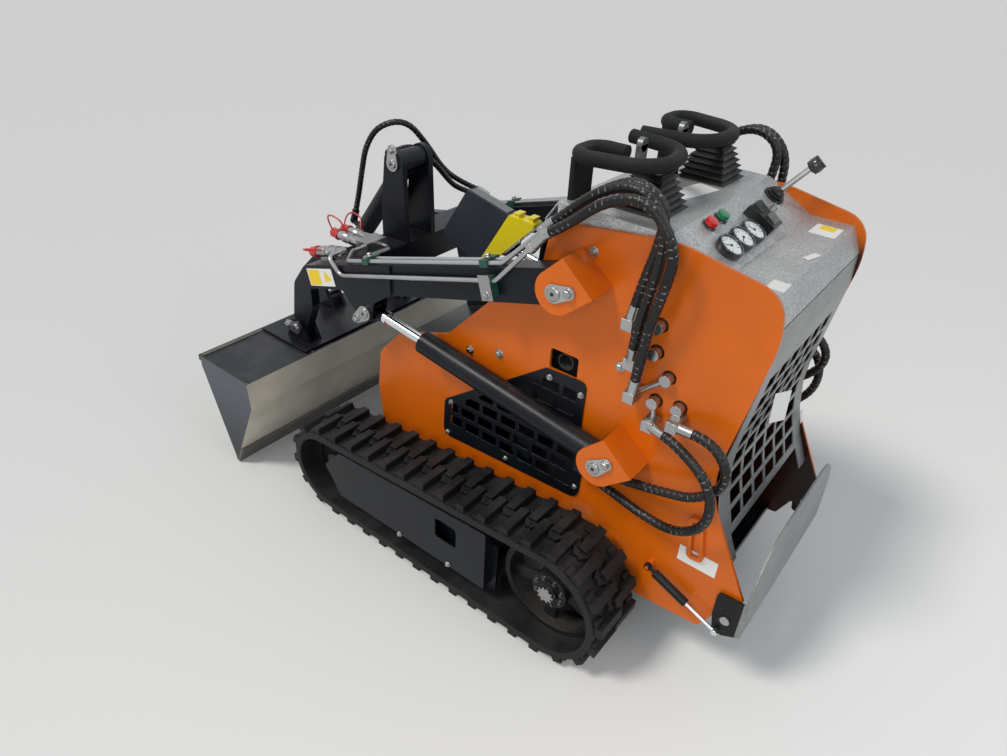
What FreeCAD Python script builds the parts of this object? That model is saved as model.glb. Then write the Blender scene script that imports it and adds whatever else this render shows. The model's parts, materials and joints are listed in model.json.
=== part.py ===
import FreeCAD, Part
import math
import os

# Compact tracked skid steer loader with a standing platform.
# Millimetres. +X points forward to the bucket, +Y to the machine's left, +Z up.
# The origin is on the floor, under the centre of the whole loader's box.

os.makedirs("parts", exist_ok=True)

# Fits and general clearances
PIN_FIT = 0.05          # radial running fit of a pin in its bore
FACE_GAP = 0.5          # side play between an eye and its cheek
SEAT = 0.3              # gap between curved faces that only rest on each other

# Body shell
BODY_HALF = 270.0       # centre plane to the outer face of a side plate
PLATE_T = 8.0           # side plate thickness
SHEET_T = 3.0           # galvanised sheet thickness
COVER_T = 6.0           # black front cover thickness
INNER_HALF = BODY_HALF - PLATE_T

# Tracks
TRACK_INNER = BODY_HALF + 35.0      # centre plane to the belt's inner edge
TRACK_WIDTH = 180.0
BELT_T = 20.0
LUG_H = 22.0
LUG_PITCH = 72.0
LUG_LENGTH = 26.0
LUG_OVERLAP = 10.0
REAR_X = -458.0
REAR_R = 190.0          # to the lugs' tips
FRONT_X = 358.0
FRONT_R = 160.0
TRACK_OUTER = TRACK_INNER + TRACK_WIDTH
TRACK_MID = TRACK_INNER + TRACK_WIDTH / 2
BELT_REACH = BELT_T + LUG_H

# Loader arm: pivot, slope and section
ARM_PIVOT = (-342.0, 978.0)
ARM_SLOPE = -16.9       # degrees, nose down as parked
ARM_RISE = 6.5          # section centre above the pivot
ARM_H = 85.0
ARM_Y0 = BODY_HALF + 7.0
ARM_W = 58.0
ARM_Y1 = ARM_Y0 + ARM_W
ARM_LENGTH = 655.0      # pivot to the head, along the arm
ARM_WALL = 6.0
ARM_PIN_R = 17.0

# Brackets on the side plates
BRACKET_T = 8.0
BRACKET_Y0 = BODY_HALF + 76.0
BRACKET_Y1 = BRACKET_Y0 + BRACKET_T
NOSE_R = 52.0
BRACKET_AIM = 130.5     # degrees, direction from the pin to the closing wall
BRACKET_REACH = 72.0    # pin to the wall's outer face
BRACKET_UPPER = 46.0    # the wall's reach to either side of the pin
BRACKET_LOWER = 62.0
KEEPER_PITCH = 40.0
KEEPER_R = 22.0
KEEPER_TAIL_R = 15.0
KEEPER_T = 6.0

# Lift cylinders
LIFT_BASE = (-497.0, 580.0)
LIFT_EYE = (284.0, 695.0)
CYL_Y = BODY_HALF + 42.0
LIFT_BARREL_R = 32.0
LIFT_BARREL_L = 592.0
LIFT_STROKE = 298.0     # travel of the rod as the arms rise
LIFT_ROD_R = 15.0
LIFT_EYE_R = 30.0
EYE_W = 40.0
ROD_HELD = 60.0         # length of a rod still held in its barrel when run out
LIFT_PIN_R = 15.0
ROD_NECK = 34.0         # thicker end of a rod beside its eye

# Crossmember and tower of the loader arms
CROSS_X0 = 395.0
CROSS_X1 = 500.0
CROSS_Z0 = 700.0
CROSS_Z1 = 785.0
TOWER_PIN = (440.0, 1020.0)
EAR_T = 18.0
EAR_Y0 = 46.0
EAR_TOP_R = 38.0

# Legs and coupler
LEG_Y0 = 205.0
LEG_T = 32.0
LEG_Y1 = LEG_Y0 + LEG_T
COUPLER_PIN = (747.0, 432.0)
COUPLER_PIN_R = 15.0
COUPLER_EAR_T = 12.0
TILT_EYE = (876.0, 445.0)
TILT_BARREL_R = 30.0
TILT_BARREL_L = 385.0
TILT_ROD_R = 14.0
TILT_EYE_R = 26.0

# Bucket, standing rolled forward on its cutting edge
BUCKET_HALF = 530.0
BUCKET_T = 6.0
BUCKET_RIM = (905.0, 377.0)
RIM_BAR = 12.0          # square bar under the bucket's rim
BUCKET_HEEL_TOP = (645.0, 377.0)
BUCKET_HEEL_LOW = (640.0, 290.0)
BUCKET_EDGE = (786.0, 4.6)
EDGE_BAR = (70.0, 10.0)     # cutting edge: height up the floor, thickness

# Platform at the rear
PLATFORM_PIVOT = (-862.0, 262.0)
PLATFORM_PIN_R = 8.0
PLATFORM_HALF = BODY_HALF + 10.0
PLATFORM_T = 5.0
PLATFORM_LOW = (-900.0, 226.0)
PLATFORM_TOP = (-894.0, 480.0)
PLATFORM_CORNER_R = 150.0
STRUT_STUD = (-651.0, 306.0)
STRUT_EYE = (-849.0, 220.0)
STRUT_Y = BODY_HALF + 22.0
STUD_R = 5.0
STRUT_EYE_T = 12.0      # width of a strut's eyes along Y
STRUT_TUBE_R = 11.0
STRUT_ROD_R = 5.0
STRUT_TUBE = (22.0, 124.0)      # tube's ends, from the stud's centre
STRUT_ROD_FROM = 100.0
STRUT_BASE_R = 9.0      # eye on the side plate's stud
STRUT_TIP_R = 8.0       # eye on the platform's stud


def vec(x, y, z):
    return FreeCAD.Vector(x, y, z)


def box(x0, x1, y0, y1, z0, z1):
    return Part.makeBox(x1 - x0, y1 - y0, z1 - z0, vec(x0, y0, z0))


def bar(start, end, radius):
    a, b = vec(*start), vec(*end)
    return Part.makeCylinder(radius, (b - a).Length, a, b - a)


def pin_y(place, radius, y0, y1):
    """Round bar along Y at a place (x, z)."""
    return Part.makeCylinder(radius, y1 - y0, vec(place[0], y0, place[1]), vec(0, 1, 0))


def outline(rows, y=0.0):
    """Closed wire in the plane Y = y from rows of (x, z, corner radius)."""
    pts = [vec(r[0], y, r[1]) for r in rows]
    count = len(rows)
    starts, ends, arcs = [], [], []
    for i, row in enumerate(rows):
        here = pts[i]
        back = (pts[i - 1] - here).normalize()
        ahead = (pts[(i + 1) % count] - here).normalize()
        radius = row[2]
        if radius <= 0:
            starts.append(here)
            ends.append(here)
            arcs.append(None)
            continue
        half = math.acos(max(-1.0, min(1.0, back.dot(ahead)))) / 2
        reach = radius / math.tan(half)
        middle = (back + ahead).normalize()
        centre = here + middle * (radius / math.sin(half))
        a = here + back * reach
        b = here + ahead * reach
        starts.append(a)
        ends.append(b)
        arcs.append(Part.Arc(a, centre - middle * radius, b).toShape())
    edges = []
    for i in range(count):
        if arcs[i] is not None:
            edges.append(arcs[i])
        j = (i + 1) % count
        if (starts[j] - ends[i]).Length > 1e-6:
            edges.append(Part.LineSegment(ends[i], starts[j]).toShape())
    return Part.Wire(edges)


def plate(rows, y0, y1):
    """Flat plate cut to an outline and lying between two Y planes."""
    face = Part.Face(outline(rows, y0))
    return face.extrude(vec(0, y1 - y0, 0))


def strip(points, thickness, y0, y1):
    """Bent sheet: an open run of points (x, z), thickened to the left of its travel."""
    offset = []
    for i, p in enumerate(points):
        normals = []
        if i > 0:
            q = points[i - 1]
            normals.append((-(p[1] - q[1]), p[0] - q[0]))
        if i < len(points) - 1:
            q = points[i + 1]
            normals.append((-(q[1] - p[1]), q[0] - p[0]))
        unit = []
        for n in normals:
            size = math.hypot(*n)
            unit.append((n[0] / size, n[1] / size))
        mx = sum(n[0] for n in unit) / len(unit)
        mz = sum(n[1] for n in unit) / len(unit)
        scale = thickness / (mx * mx + mz * mz)
        offset.append((p[0] + mx * scale, p[1] + mz * scale))
    ring = [(p[0], p[1], 0) for p in points] + [(p[0], p[1], 0) for p in reversed(offset)]
    return plate(ring, y0, y1)


def turned(place, centre, degrees):
    """A place (x, z) turned about a centre, positive lifting the nose."""
    a = math.radians(degrees)
    dx, dz = place[0] - centre[0], place[1] - centre[1]
    return (centre[0] + dx * math.cos(a) - dz * math.sin(a),
            centre[1] + dx * math.sin(a) + dz * math.cos(a))


def along(start, end, distance):
    """The place (x, z) a distance along the line from start to end."""
    length = math.hypot(end[0] - start[0], end[1] - start[1])
    share = distance / length
    return (start[0] + (end[0] - start[0]) * share, start[1] + (end[1] - start[1]) * share)


def bent_route(points, bend=None):
    """Straight runs joined by tangent arcs; bend is one radius for all, or None for easy bends."""
    pts = [vec(*p) for p in points]
    edges = []
    radii = []
    here = pts[0]
    for i in range(1, len(pts) - 1):
        back, ahead = pts[i - 1] - pts[i], pts[i + 1] - pts[i]
        shorter = min(back.Length, ahead.Length)
        back.normalize()
        ahead.normalize()
        half = math.acos(max(-1.0, min(1.0, back.dot(ahead)))) / 2
        radius = 0.45 * shorter * math.tan(half)
        if bend is not None:
            radius = min(bend, radius)
        reach = radius / math.tan(half)
        middle = (back + ahead).normalize()
        centre = pts[i] + middle * (radius / math.sin(half))
        start, end = pts[i] + back * reach, pts[i] + ahead * reach
        edges.append(Part.LineSegment(here, start).toShape())
        edges.append(Part.Arc(start, centre - middle * radius, end).toShape())
        radii.append(radius)
        here = end
    edges.append(Part.LineSegment(here, pts[-1]).toShape())
    return Part.Wire(edges), radii


def swept(points, radius, bend=None):
    """Round bar or hose along a route."""
    wire, radii = bent_route(points, bend)
    ahead = vec(*points[1]) - vec(*points[0])
    ring = Part.Wire([Part.makeCircle(radius, vec(*points[0]), ahead)])
    solid = wire.makePipeShell([ring], True, False)
    share = solid.Volume / (math.pi * radius * radius * wire.Length)
    print(f"route {wire.Length:6.0f} long, bends {[round(r) for r in radii]}, volume share {share:5.3f}")
    return solid


def mirrored(shape):
    return shape.mirror(vec(0, 0, 0), vec(0, 1, 0))


def solids_of(shape):
    return shape.Solids if hasattr(shape, "Solids") else [shape]


def export(node, *shapes):
    solids = []
    for shape in shapes:
        solids.extend(solids_of(shape.removeSplitter()))
    whole = solids[0] if len(solids) == 1 else Part.makeCompound(solids)
    whole.exportStep("parts/" + node + ".step")
    size, volume = whole.BoundBox, whole.Volume
    print(f"{node:24s} solids {len(solids):2d}  valid {whole.isValid()}  cm3 {volume / 1000:9.1f}  "
          f"x {size.XMin:7.1f} {size.XMax:7.1f}  y {size.YMin:7.1f} {size.YMax:7.1f}  "
          f"z {size.ZMin:7.1f} {size.ZMax:7.1f}")


def export_pair(node, *shapes):
    """The left-hand shapes and their mirror images, each as a node of its own."""
    export(node + "_left", *shapes)
    export(node + "_right", *[mirrored(s) for s in shapes])


def export_both(node, *shapes):
    """The left-hand shapes and their mirror images together in one node."""
    export(node, *shapes, *[mirrored(s) for s in shapes])


# Side plates

PLATE_OUTLINE = [
    # x, z, corner radius
    (-560.0, 1134.0, 300.0),
    (-268.0, 1096.0, 60.0),
    (-232.0, 905.0, 20.0),
    (-140.0, 884.0, 30.0),
    (39.0, 693.0, 90.0),
    (219.0, 628.0, 60.0),
    (309.0, 530.0, 60.0),
    (326.0, 400.0, 200.0),
    (300.0, 168.0, 20.0),
    (-640.0, 168.0, 150.0),
    (-800.0, 182.0, 12.0),
    (-838.0, 262.0, 12.0),
    (-848.0, 243.0, 8.0),
    (-878.0, 243.0, 12.0),
    (-885.0, 334.0, 6.0),
    (-741.0, 604.0, 240.0),
    (-803.0, 1000.0, 260.0),
    (-786.0, 1092.0, 70.0),
]
EXHAUST_WINDOW = (-373.0, -293.0, 728.0, 786.0)
GUARD_OUTLINE = [
    (-404.0, 732.0, 18.0),
    (-286.0, 726.0, 25.0),
    (46.0, 478.0, 25.0),
    (52.0, 352.0, 28.0),
    (-418.0, 376.0, 28.0),
    (-424.0, 505.0, 20.0),
    (-402.0, 540.0, 40.0),
]
TIE_LUG = [
    (-775.0, 392.0, 12.0),
    (-733.0, 386.0, 14.0),
    (-716.0, 508.0, 14.0),
    (-752.0, 512.0, 14.0),
]
TIE_BAR = 11.0
TIE_T = 10.0
GUARD_T = 4.0
GUARD_RIM = 22.0
SLOT_FIRST = (-392.0, 404.0)    # lower front corner of the first slot
SLOT_PITCH = (62.0, 44.0)
SLOT_SIZE = (50.0, 30.0)
SLOT_STAGGER = 16.0
SLOT_COLUMNS = 7
SLOT_ROWS = 7
HOSE_PORTS = [(-559.0, 948.0), (-561.0, 884.0), (-599.0, 834.0), (-637.0, 774.0), (-579.0, 766.0)]
HOSE_PORT_R = 17.0


def inset_outline(rows, amount):
    """The same corners moved towards the outline's middle."""
    wire = outline(rows)
    return wire.makeOffset2D(-amount)


def side_plate():
    body = plate(PLATE_OUTLINE, INNER_HALF, BODY_HALF)
    x0, x1, z0, z1 = EXHAUST_WINDOW
    window = [(x0, z0, 8.0), (x1, z0, 8.0), (x1, z1, 8.0), (x0, z1, 8.0)]
    cuts = [plate(window, INNER_HALF - 1, BODY_HALF + 1)]
    opening = Part.Face(inset_outline(GUARD_OUTLINE, GUARD_RIM))
    opening.translate(vec(0, INNER_HALF - 1, 0))
    cuts.append(opening.extrude(vec(0, PLATE_T + 2, 0)))
    for port in HOSE_PORTS:
        cuts.append(pin_y(port, HOSE_PORT_R, INNER_HALF - 1, BODY_HALF + 1))
    for place, radius in ((ARM_PIVOT, ARM_PIN_R), (LIFT_BASE, LIFT_PIN_R), (PLATFORM_PIVOT, PLATFORM_PIN_R)):
        cuts.append(pin_y(place, radius + PIN_FIT, INNER_HALF - 1, BODY_HALF + 1))
    stud = pin_y(STRUT_STUD, STUD_R, BODY_HALF - 1, STRUT_Y + 8.0)
    collar = pin_y(STRUT_STUD, STRUT_BASE_R, BODY_HALF - 1, STRUT_Y - STRUT_EYE_T / 2 - FACE_GAP)
    lug = plate(TIE_LUG, BODY_HALF, BODY_HALF + TIE_T)
    eye = Part.Face(inset_outline(TIE_LUG, TIE_BAR))
    eye.translate(vec(0, BODY_HALF - 1, 0))
    lug = lug.cut(eye.extrude(vec(0, TIE_T + 2, 0)))
    return body.cut(cuts).fuse([stud, collar, lug])


def side_guard():
    body = plate(GUARD_OUTLINE, BODY_HALF, BODY_HALF + GUARD_T)
    slots = []
    inner = Part.Face(inset_outline(GUARD_OUTLINE, GUARD_RIM))
    inner.translate(vec(0, BODY_HALF - 1, 0))
    inner = inner.extrude(vec(0, GUARD_T + 2, 0))
    for row in range(SLOT_ROWS):
        z = SLOT_FIRST[1] + SLOT_PITCH[1] * row
        for col in range(SLOT_COLUMNS):
            x = SLOT_FIRST[0] + SLOT_PITCH[0] * col + SLOT_STAGGER * (row % 2)
            slots.append(box(x, x + SLOT_SIZE[0], BODY_HALF - 1, BODY_HALF + GUARD_T + 1,
                             z, z + SLOT_SIZE[1]))
    holes = Part.makeCompound(slots).common(inner)
    return body.cut(holes)


export_pair("side_plate", side_plate())
export_pair("side_guard", side_guard())


# Brackets that carry the arm pivots and the lift cylinders' bases

def bracket(place, pin_r):
    """Box bracket: an outer cheek with a round nose, and a closing wall to the side plate."""
    def spot(out, across):
        return turned((place[0] + out, place[1] + across), place, BRACKET_AIM) + (0,)

    far = BRACKET_REACH
    near = far - BRACKET_T
    cheek_rows = [spot(0, NOSE_R), spot(far, BRACKET_LOWER), spot(far, -BRACKET_UPPER), spot(0, -NOSE_R)]
    wall_rows = [spot(near, BRACKET_LOWER), spot(far, BRACKET_LOWER),
                 spot(far, -BRACKET_UPPER), spot(near, -BRACKET_UPPER)]
    cheek = plate(cheek_rows, BRACKET_Y0, BRACKET_Y1).fuse(pin_y(place, NOSE_R, BRACKET_Y0, BRACKET_Y1))
    whole = cheek.fuse(plate(wall_rows, BODY_HALF, BRACKET_Y0))
    return whole.cut(pin_y(place, pin_r + PIN_FIT, BODY_HALF - 1, BRACKET_Y1 + 1))


def headed_pin(place, radius, y0, y1, lean):
    """Pin with a teardrop keeper plate on its outer end."""
    shaft = pin_y(place, radius, y0, y1)
    tail = turned((place[0] - KEEPER_PITCH, place[1]), place, -lean)
    head = pin_y(place, KEEPER_R, y1, y1 + KEEPER_T)
    lobe = pin_y(tail, KEEPER_TAIL_R, y1, y1 + KEEPER_T)
    side = (tail[1] - place[1], place[0] - tail[0])
    size = math.hypot(*side)
    side = (side[0] / size, side[1] / size)
    rows = [
        (place[0] + side[0] * KEEPER_R, place[1] + side[1] * KEEPER_R, 0),
        (tail[0] + side[0] * KEEPER_TAIL_R, tail[1] + side[1] * KEEPER_TAIL_R, 0),
        (tail[0] - side[0] * KEEPER_TAIL_R, tail[1] - side[1] * KEEPER_TAIL_R, 0),
        (place[0] - side[0] * KEEPER_R, place[1] - side[1] * KEEPER_R, 0),
    ]
    link = plate(rows, y1, y1 + KEEPER_T)
    return shaft.fuse([head, lobe, link])


export_both("pivot_brackets", bracket(ARM_PIVOT, ARM_PIN_R), bracket(LIFT_BASE, LIFT_PIN_R))
export_both("pivot_pins",
            headed_pin(ARM_PIVOT, ARM_PIN_R, INNER_HALF, BRACKET_Y1, 20.0),
            headed_pin(LIFT_BASE, LIFT_PIN_R, INNER_HALF, BRACKET_Y1, 42.0))


# Covers, belly and engine

FRONT_COVER_LINE = [(-236.0, 1060.0), (-226.0, 900.0), (-140.0, 872.0), (36.0, 684.0),
                    (214.0, 618.0), (298.0, 528.0), (314.0, 400.0), (292.0, 200.0)]
BELLY_Z = 180.0
BELLY_T = 8.0
BELLY_X0 = -600.0
BELLY_X1 = 280.0
BELLY_WALL = 120.0      # height of the pan's end walls
BEARER = 60.0           # side of the square engine bearers
BEARER_IN = 40.0        # engine's end to a bearer
ENGINE = (-520.0, -150.0, 200.0, 470.0, 850.0)     # x0, x1, half width, z0, z1
EXHAUST_R = 22.0
EXHAUST_WALL = 3.0
VALVE_T = 40.0


def front_cover():
    return strip(FRONT_COVER_LINE, -COVER_T, -INNER_HALF, INNER_HALF)


def belly_frame():
    pan = box(BELLY_X0, BELLY_X1, -INNER_HALF, INNER_HALF, BELLY_Z, BELLY_Z + BELLY_T)
    parts = [pan]
    for x in (ENGINE[0] + BEARER_IN, ENGINE[1] - BEARER_IN - BEARER):
        parts.append(box(x, x + BEARER, -INNER_HALF, INNER_HALF, ENGINE[3] - BEARER, ENGINE[3]))
    for x in (BELLY_X0, BELLY_X1 - BELLY_T):
        parts.append(box(x, x + BELLY_T, -INNER_HALF, INNER_HALF, BELLY_Z, BELLY_Z + BELLY_WALL))
    return parts


frame_parts = belly_frame()
export("front_cover", front_cover())
export("belly_frame", frame_parts[0].fuse(frame_parts[3:]), frame_parts[1], frame_parts[2])


def engine():
    """Plain block with the exhaust's end behind the window of the left side plate."""
    block = box(ENGINE[0], ENGINE[1], -ENGINE[2], ENGINE[2], ENGINE[3], ENGINE[4])
    place = ((EXHAUST_WINDOW[0] + EXHAUST_WINDOW[1]) / 2, (EXHAUST_WINDOW[2] + EXHAUST_WINDOW[3]) / 2)
    pipe = pin_y(place, EXHAUST_R, ENGINE[2] - 1, INNER_HALF - FACE_GAP)
    bore = pin_y(place, EXHAUST_R - EXHAUST_WALL, ENGINE[2] + 10, INNER_HALF)
    return block.fuse(pipe).cut(bore)


def valve_block():
    """Steel block behind the hose ports, seated on the side plate's inner face."""
    xs = [port[0] for port in HOSE_PORTS]
    zs = [port[1] for port in HOSE_PORTS]
    return box(min(xs) - HOSE_PORT_R - 1, max(xs) + HOSE_PORT_R + 1, INNER_HALF - VALVE_T, INNER_HALF,
               min(zs) - HOSE_PORT_R - 4, max(zs) + HOSE_PORT_R + 4)


export("engine", engine())
export_both("valve_blocks", valve_block())


# Console and rear panel

DECK_Z = 1140.0
DECK_FRONT = -272.0
DECK_REAR = -540.0
DECK_LIP = 50.0
CONSOLE_LINE = [(-240.0, 1092.0), (DECK_FRONT, DECK_Z), (DECK_REAR, DECK_Z), (-658.0, 1074.0),
                (-764.0, 1074.0), (-790.0, 1014.0)]
REAR_LINE = [(-790.0, 1010.0), (-793.0, 940.0), (-778.0, 820.0), (-762.0, 700.0), (-760.0, 640.0),
             (-772.0, 560.0), (-796.0, 475.0), (-830.0, 400.0)]
MESH_COLUMNS = 6
MESH_ROWS = 8
MESH_PITCH_Y = 70.0
MESH_PITCH_Z = 52.0
MESH_BAR = 11.0
MESH_LOW = 470.0
PANEL_CUT_HALF = 215.0


def rear_panel():
    body = strip(REAR_LINE, SHEET_T, -INNER_HALF, INNER_HALF)
    rear = min(x for x, _ in REAR_LINE) - 50
    front = max(x for x, _ in REAR_LINE) + 50
    holes = []
    for row in range(MESH_ROWS):
        z = MESH_LOW + MESH_PITCH_Z * row
        for col in range(MESH_COLUMNS):
            y = (col - MESH_COLUMNS / 2) * MESH_PITCH_Y
            holes.append(box(rear, front, y + MESH_BAR / 2, y + MESH_PITCH_Y - MESH_BAR / 2,
                             z + MESH_BAR / 2, z + MESH_PITCH_Z - MESH_BAR / 2))
    mouth = box(rear, front, -PANEL_CUT_HALF, PANEL_CUT_HALF, REAR_LINE[-1][1] - 100, MESH_LOW - MESH_BAR)
    return body.cut(holes + [mouth])


def console():
    """Bent deck with a lip turned down inside each side plate."""
    body = strip(CONSOLE_LINE, SHEET_T, -INNER_HALF, INNER_HALF)
    lips = []
    for y0 in (-INNER_HALF, INNER_HALF - SHEET_T):
        lips.append(box(DECK_REAR, DECK_FRONT, y0, y0 + SHEET_T, DECK_Z - DECK_LIP, DECK_Z - 1.0))
    return body.fuse(lips)


export("console", console())
export("rear_panel", rear_panel())


# Gauges, buttons and controls

PANEL_TOP = (DECK_REAR, DECK_Z)
PANEL_LOW = (-658.0, 1074.0)
PANEL_PARTS = [
    # y, share of the way down the panel, radius, height
    (149.0, 0.66, 29.0, 14.0),
    (88.0, 0.66, 29.0, 14.0),
    (30.0, 0.66, 29.0, 14.0),
    (129.0, 0.18, 11.0, 16.0),
    (72.0, 0.18, 11.0, 16.0),
]
SWITCH_BOX = (-66.0, -18.0, 0.30, 0.85, 26.0)     # y0, y1, shares down the panel, height
AUX_LEVER = (-190.0, 0.35)      # y, share down the panel
AUX_REACH = (-60.0, -28.0, 74.0)
AUX_R = 6.0
AUX_KNOB_R = 17.0
GRIP_R = 16.0
GRIP_Z = 1240.0
GRIP_ROUTE = [(-300.0, 22.0), (-452.0, 44.0), (-470.0, 212.0),
              (-285.0, 254.0), (-285.0, 150.0), (-362.0, 150.0)]
GRIP_POST = (12.0, 76.0)        # thickness along X, width along Y
PADDLE = (-366.0, 97.0, 12.0, 30.0)     # x, y, thickness, width
PADDLE_TOP = 1248.0
PADDLE_LOW = 1184.0
BOOT_X = -432.0
BOOT_Y = 150.0
BOOT_FOLDS = 6
BOOT_FOLD = 13.5
BOOT_HALF = (62.0, 34.0)        # half side at the foot and at the top
BOOT_DIP = 9.0


def panel_place(share):
    """A place (x, z) on the gauge panel, by its share of the way down."""
    return (PANEL_TOP[0] + (PANEL_LOW[0] - PANEL_TOP[0]) * share,
            PANEL_TOP[1] + (PANEL_LOW[1] - PANEL_TOP[1]) * share)


def panel_normal():
    dx, dz = PANEL_TOP[0] - PANEL_LOW[0], PANEL_TOP[1] - PANEL_LOW[1]
    size = math.hypot(dx, dz)
    return (-dz / size, dx / size)


def gauge_cluster():
    n = panel_normal()
    out = []
    for y, share, radius, height in PANEL_PARTS:
        x, z = panel_place(share)
        out.append(Part.makeCylinder(radius, height, vec(x, y, z), vec(n[0], 0, n[1])))
    y0, y1, top, low, height = SWITCH_BOX
    a, b = panel_place(top), panel_place(low)
    rows = [a + (0,), b + (0,), (b[0] + n[0] * height, b[1] + n[1] * height, 4.0),
            (a[0] + n[0] * height, a[1] + n[1] * height, 4.0)]
    out.append(plate(rows, y0, y1))
    return out


def aux_lever():
    """Small hand lever with a round knob, leaning back over the tray."""
    x, z = panel_place(AUX_LEVER[1])
    foot = vec(x, AUX_LEVER[0], z)
    ahead = vec(*AUX_REACH)
    n = panel_normal()
    collar = Part.makeCylinder(AUX_KNOB_R, 2 * AUX_R, foot, vec(n[0], 0, n[1]))
    stem = Part.makeCylinder(AUX_R, ahead.Length, foot + vec(n[0], 0, n[1]) * AUX_R, ahead)
    knob = Part.makeCylinder(AUX_KNOB_R, 1.6 * AUX_KNOB_R, foot + ahead, ahead)
    return collar.fuse([stem, knob])


def hand_grip():
    """Foam grip: an open loop of round bar on a flat post."""
    loop = swept([(x, y, GRIP_Z) for x, y in GRIP_ROUTE], GRIP_R)
    x, y = GRIP_ROUTE[3][0], (GRIP_ROUTE[3][1] + GRIP_ROUTE[4][1]) / 2
    t, w = GRIP_POST
    post = box(x - t / 2, x + t / 2, y - w / 2, y + w / 2, DECK_Z, GRIP_Z - GRIP_R / 2)
    return loop.fuse(post)


def thumb_paddle():
    x, y, t, w = PADDLE
    stem = box(x - t / 4, x + t / 4, y - w / 4, y + w / 4, DECK_Z, PADDLE_LOW + 1)
    return stem.fuse(box(x - t / 2, x + t / 2, y - w / 2, y + w / 2, PADDLE_LOW, PADDLE_TOP))


def lever_boot():
    """Square bellows: folds between a wide foot and a narrow top."""
    rings = []
    steps = 2 * BOOT_FOLDS
    for step in range(steps + 1):
        half = BOOT_HALF[0] + (BOOT_HALF[1] - BOOT_HALF[0]) * step / steps
        if step % 2:
            half -= BOOT_DIP
        z = DECK_Z + BOOT_FOLD * step / 2
        signs = ((1, 1), (-1, 1), (-1, -1), (1, -1))
        corners = [vec(BOOT_X + half * i, BOOT_Y + half * j, z) for i, j in signs]
        rings.append(Part.makePolygon(corners + corners[:1]))
    return Part.makeLoft(rings, True, True)


export("gauge_cluster", *gauge_cluster(), aux_lever())
export_pair("drive_handle", hand_grip(), thumb_paddle())
export_both("lever_boots", lever_boot())


# Tracks

WHEEL_W = 60.0
SPOKES = 5
SPOKE_W = 34.0
HUB_R = 52.0
HUB_CAP_R = 30.0
CHEEK_T = 10.0
CHEEK_HALF = 50.0       # track's middle to a frame cheek's outer face
CHEEK_Y0 = TRACK_MID - CHEEK_HALF
CHEEK_Y1 = TRACK_MID + CHEEK_HALF
FRAME_ARM_X = [-260.0, 120.0]
FRAME_ARM = (80.0, 70.0)        # length along X, height
MOTOR_R = 58.0
MOTOR_NECK_R = 40.0
MOTOR_L = 60.0
LUG_BITE = 4.0          # lug's root inside the belt
LUG_TRIM = 0.6          # worn off every lug that doesn't stand on the floor
LUG_SIDE = 4.0          # lug's end to the belt's edge
ROLLER_R = 45.0
ROLLER_X = [-250.0, -110.0, 30.0, 170.0]
FRAME_X0 = -296.0
FRAME_Z0 = 72.0
FRAME_Z1 = 250.0
REAR_CENTRE = (REAR_X, REAR_R)
FRONT_CENTRE = (FRONT_X, FRONT_R)


def loop_angles():
    """Angle of the top tangent points; the bottom run lies level on the floor."""
    dx, dz = FRONT_X - REAR_X, FRONT_R - REAR_R
    lean = math.atan2(dz, dx)
    return lean + math.acos((REAR_R - FRONT_R) / math.hypot(dx, dz))


def on_circle(centre, radius, angle):
    return (centre[0] + radius * math.cos(angle), centre[1] + radius * math.sin(angle))


def loop_wire(inset, y):
    top = loop_angles()
    low = -math.pi / 2
    r1, r2 = REAR_R - inset, FRONT_R - inset
    rear = [on_circle(REAR_CENTRE, r1, a) for a in (low, (low - 2 * math.pi + top) / 2, top)]
    front = [on_circle(FRONT_CENTRE, r2, a) for a in (top, (top + low) / 2, low)]
    rear = [vec(p[0], y, p[1]) for p in rear]
    front = [vec(p[0], y, p[1]) for p in front]
    return Part.Wire([
        Part.Arc(*rear).toShape(),
        Part.LineSegment(rear[2], front[0]).toShape(),
        Part.Arc(*front).toShape(),
        Part.LineSegment(front[2], rear[0]).toShape(),
    ])


def loop_slab(inset, y0, y1):
    return Part.Face(loop_wire(inset, y0)).extrude(vec(0, y1 - y0, 0))


def loop_station(distance, inset):
    """Place and outward angle at a distance round the loop, from the rear top tangent point."""
    top = loop_angles()
    low = -math.pi / 2
    r1, r2 = REAR_R - inset, FRONT_R - inset
    a, b = on_circle(REAR_CENTRE, r1, top), on_circle(FRONT_CENTRE, r2, top)
    run = math.hypot(b[0] - a[0], b[1] - a[1])
    front_turn, rear_turn = top - low, 2 * math.pi - (top - low)
    if distance < run:
        return along(a, b, distance) + (top,)
    distance -= run
    if distance < front_turn * r2:
        angle = top - distance / r2
        return on_circle(FRONT_CENTRE, r2, angle) + (angle,)
    distance -= front_turn * r2
    if distance < run:
        c, d = on_circle(FRONT_CENTRE, r2, low), on_circle(REAR_CENTRE, r1, low)
        return along(c, d, distance) + (low,)
    distance -= run
    angle = low - distance / r1
    return on_circle(REAR_CENTRE, r1, angle) + (angle,)


def loop_length(inset):
    top = loop_angles()
    turn = top + math.pi / 2
    r1, r2 = REAR_R - inset, FRONT_R - inset
    a, b = on_circle(REAR_CENTRE, r1, top), on_circle(FRONT_CENTRE, r2, top)
    run = math.hypot(b[0] - a[0], b[1] - a[1])
    return 2 * run + turn * r2 + (2 * math.pi - turn) * r1


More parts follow.
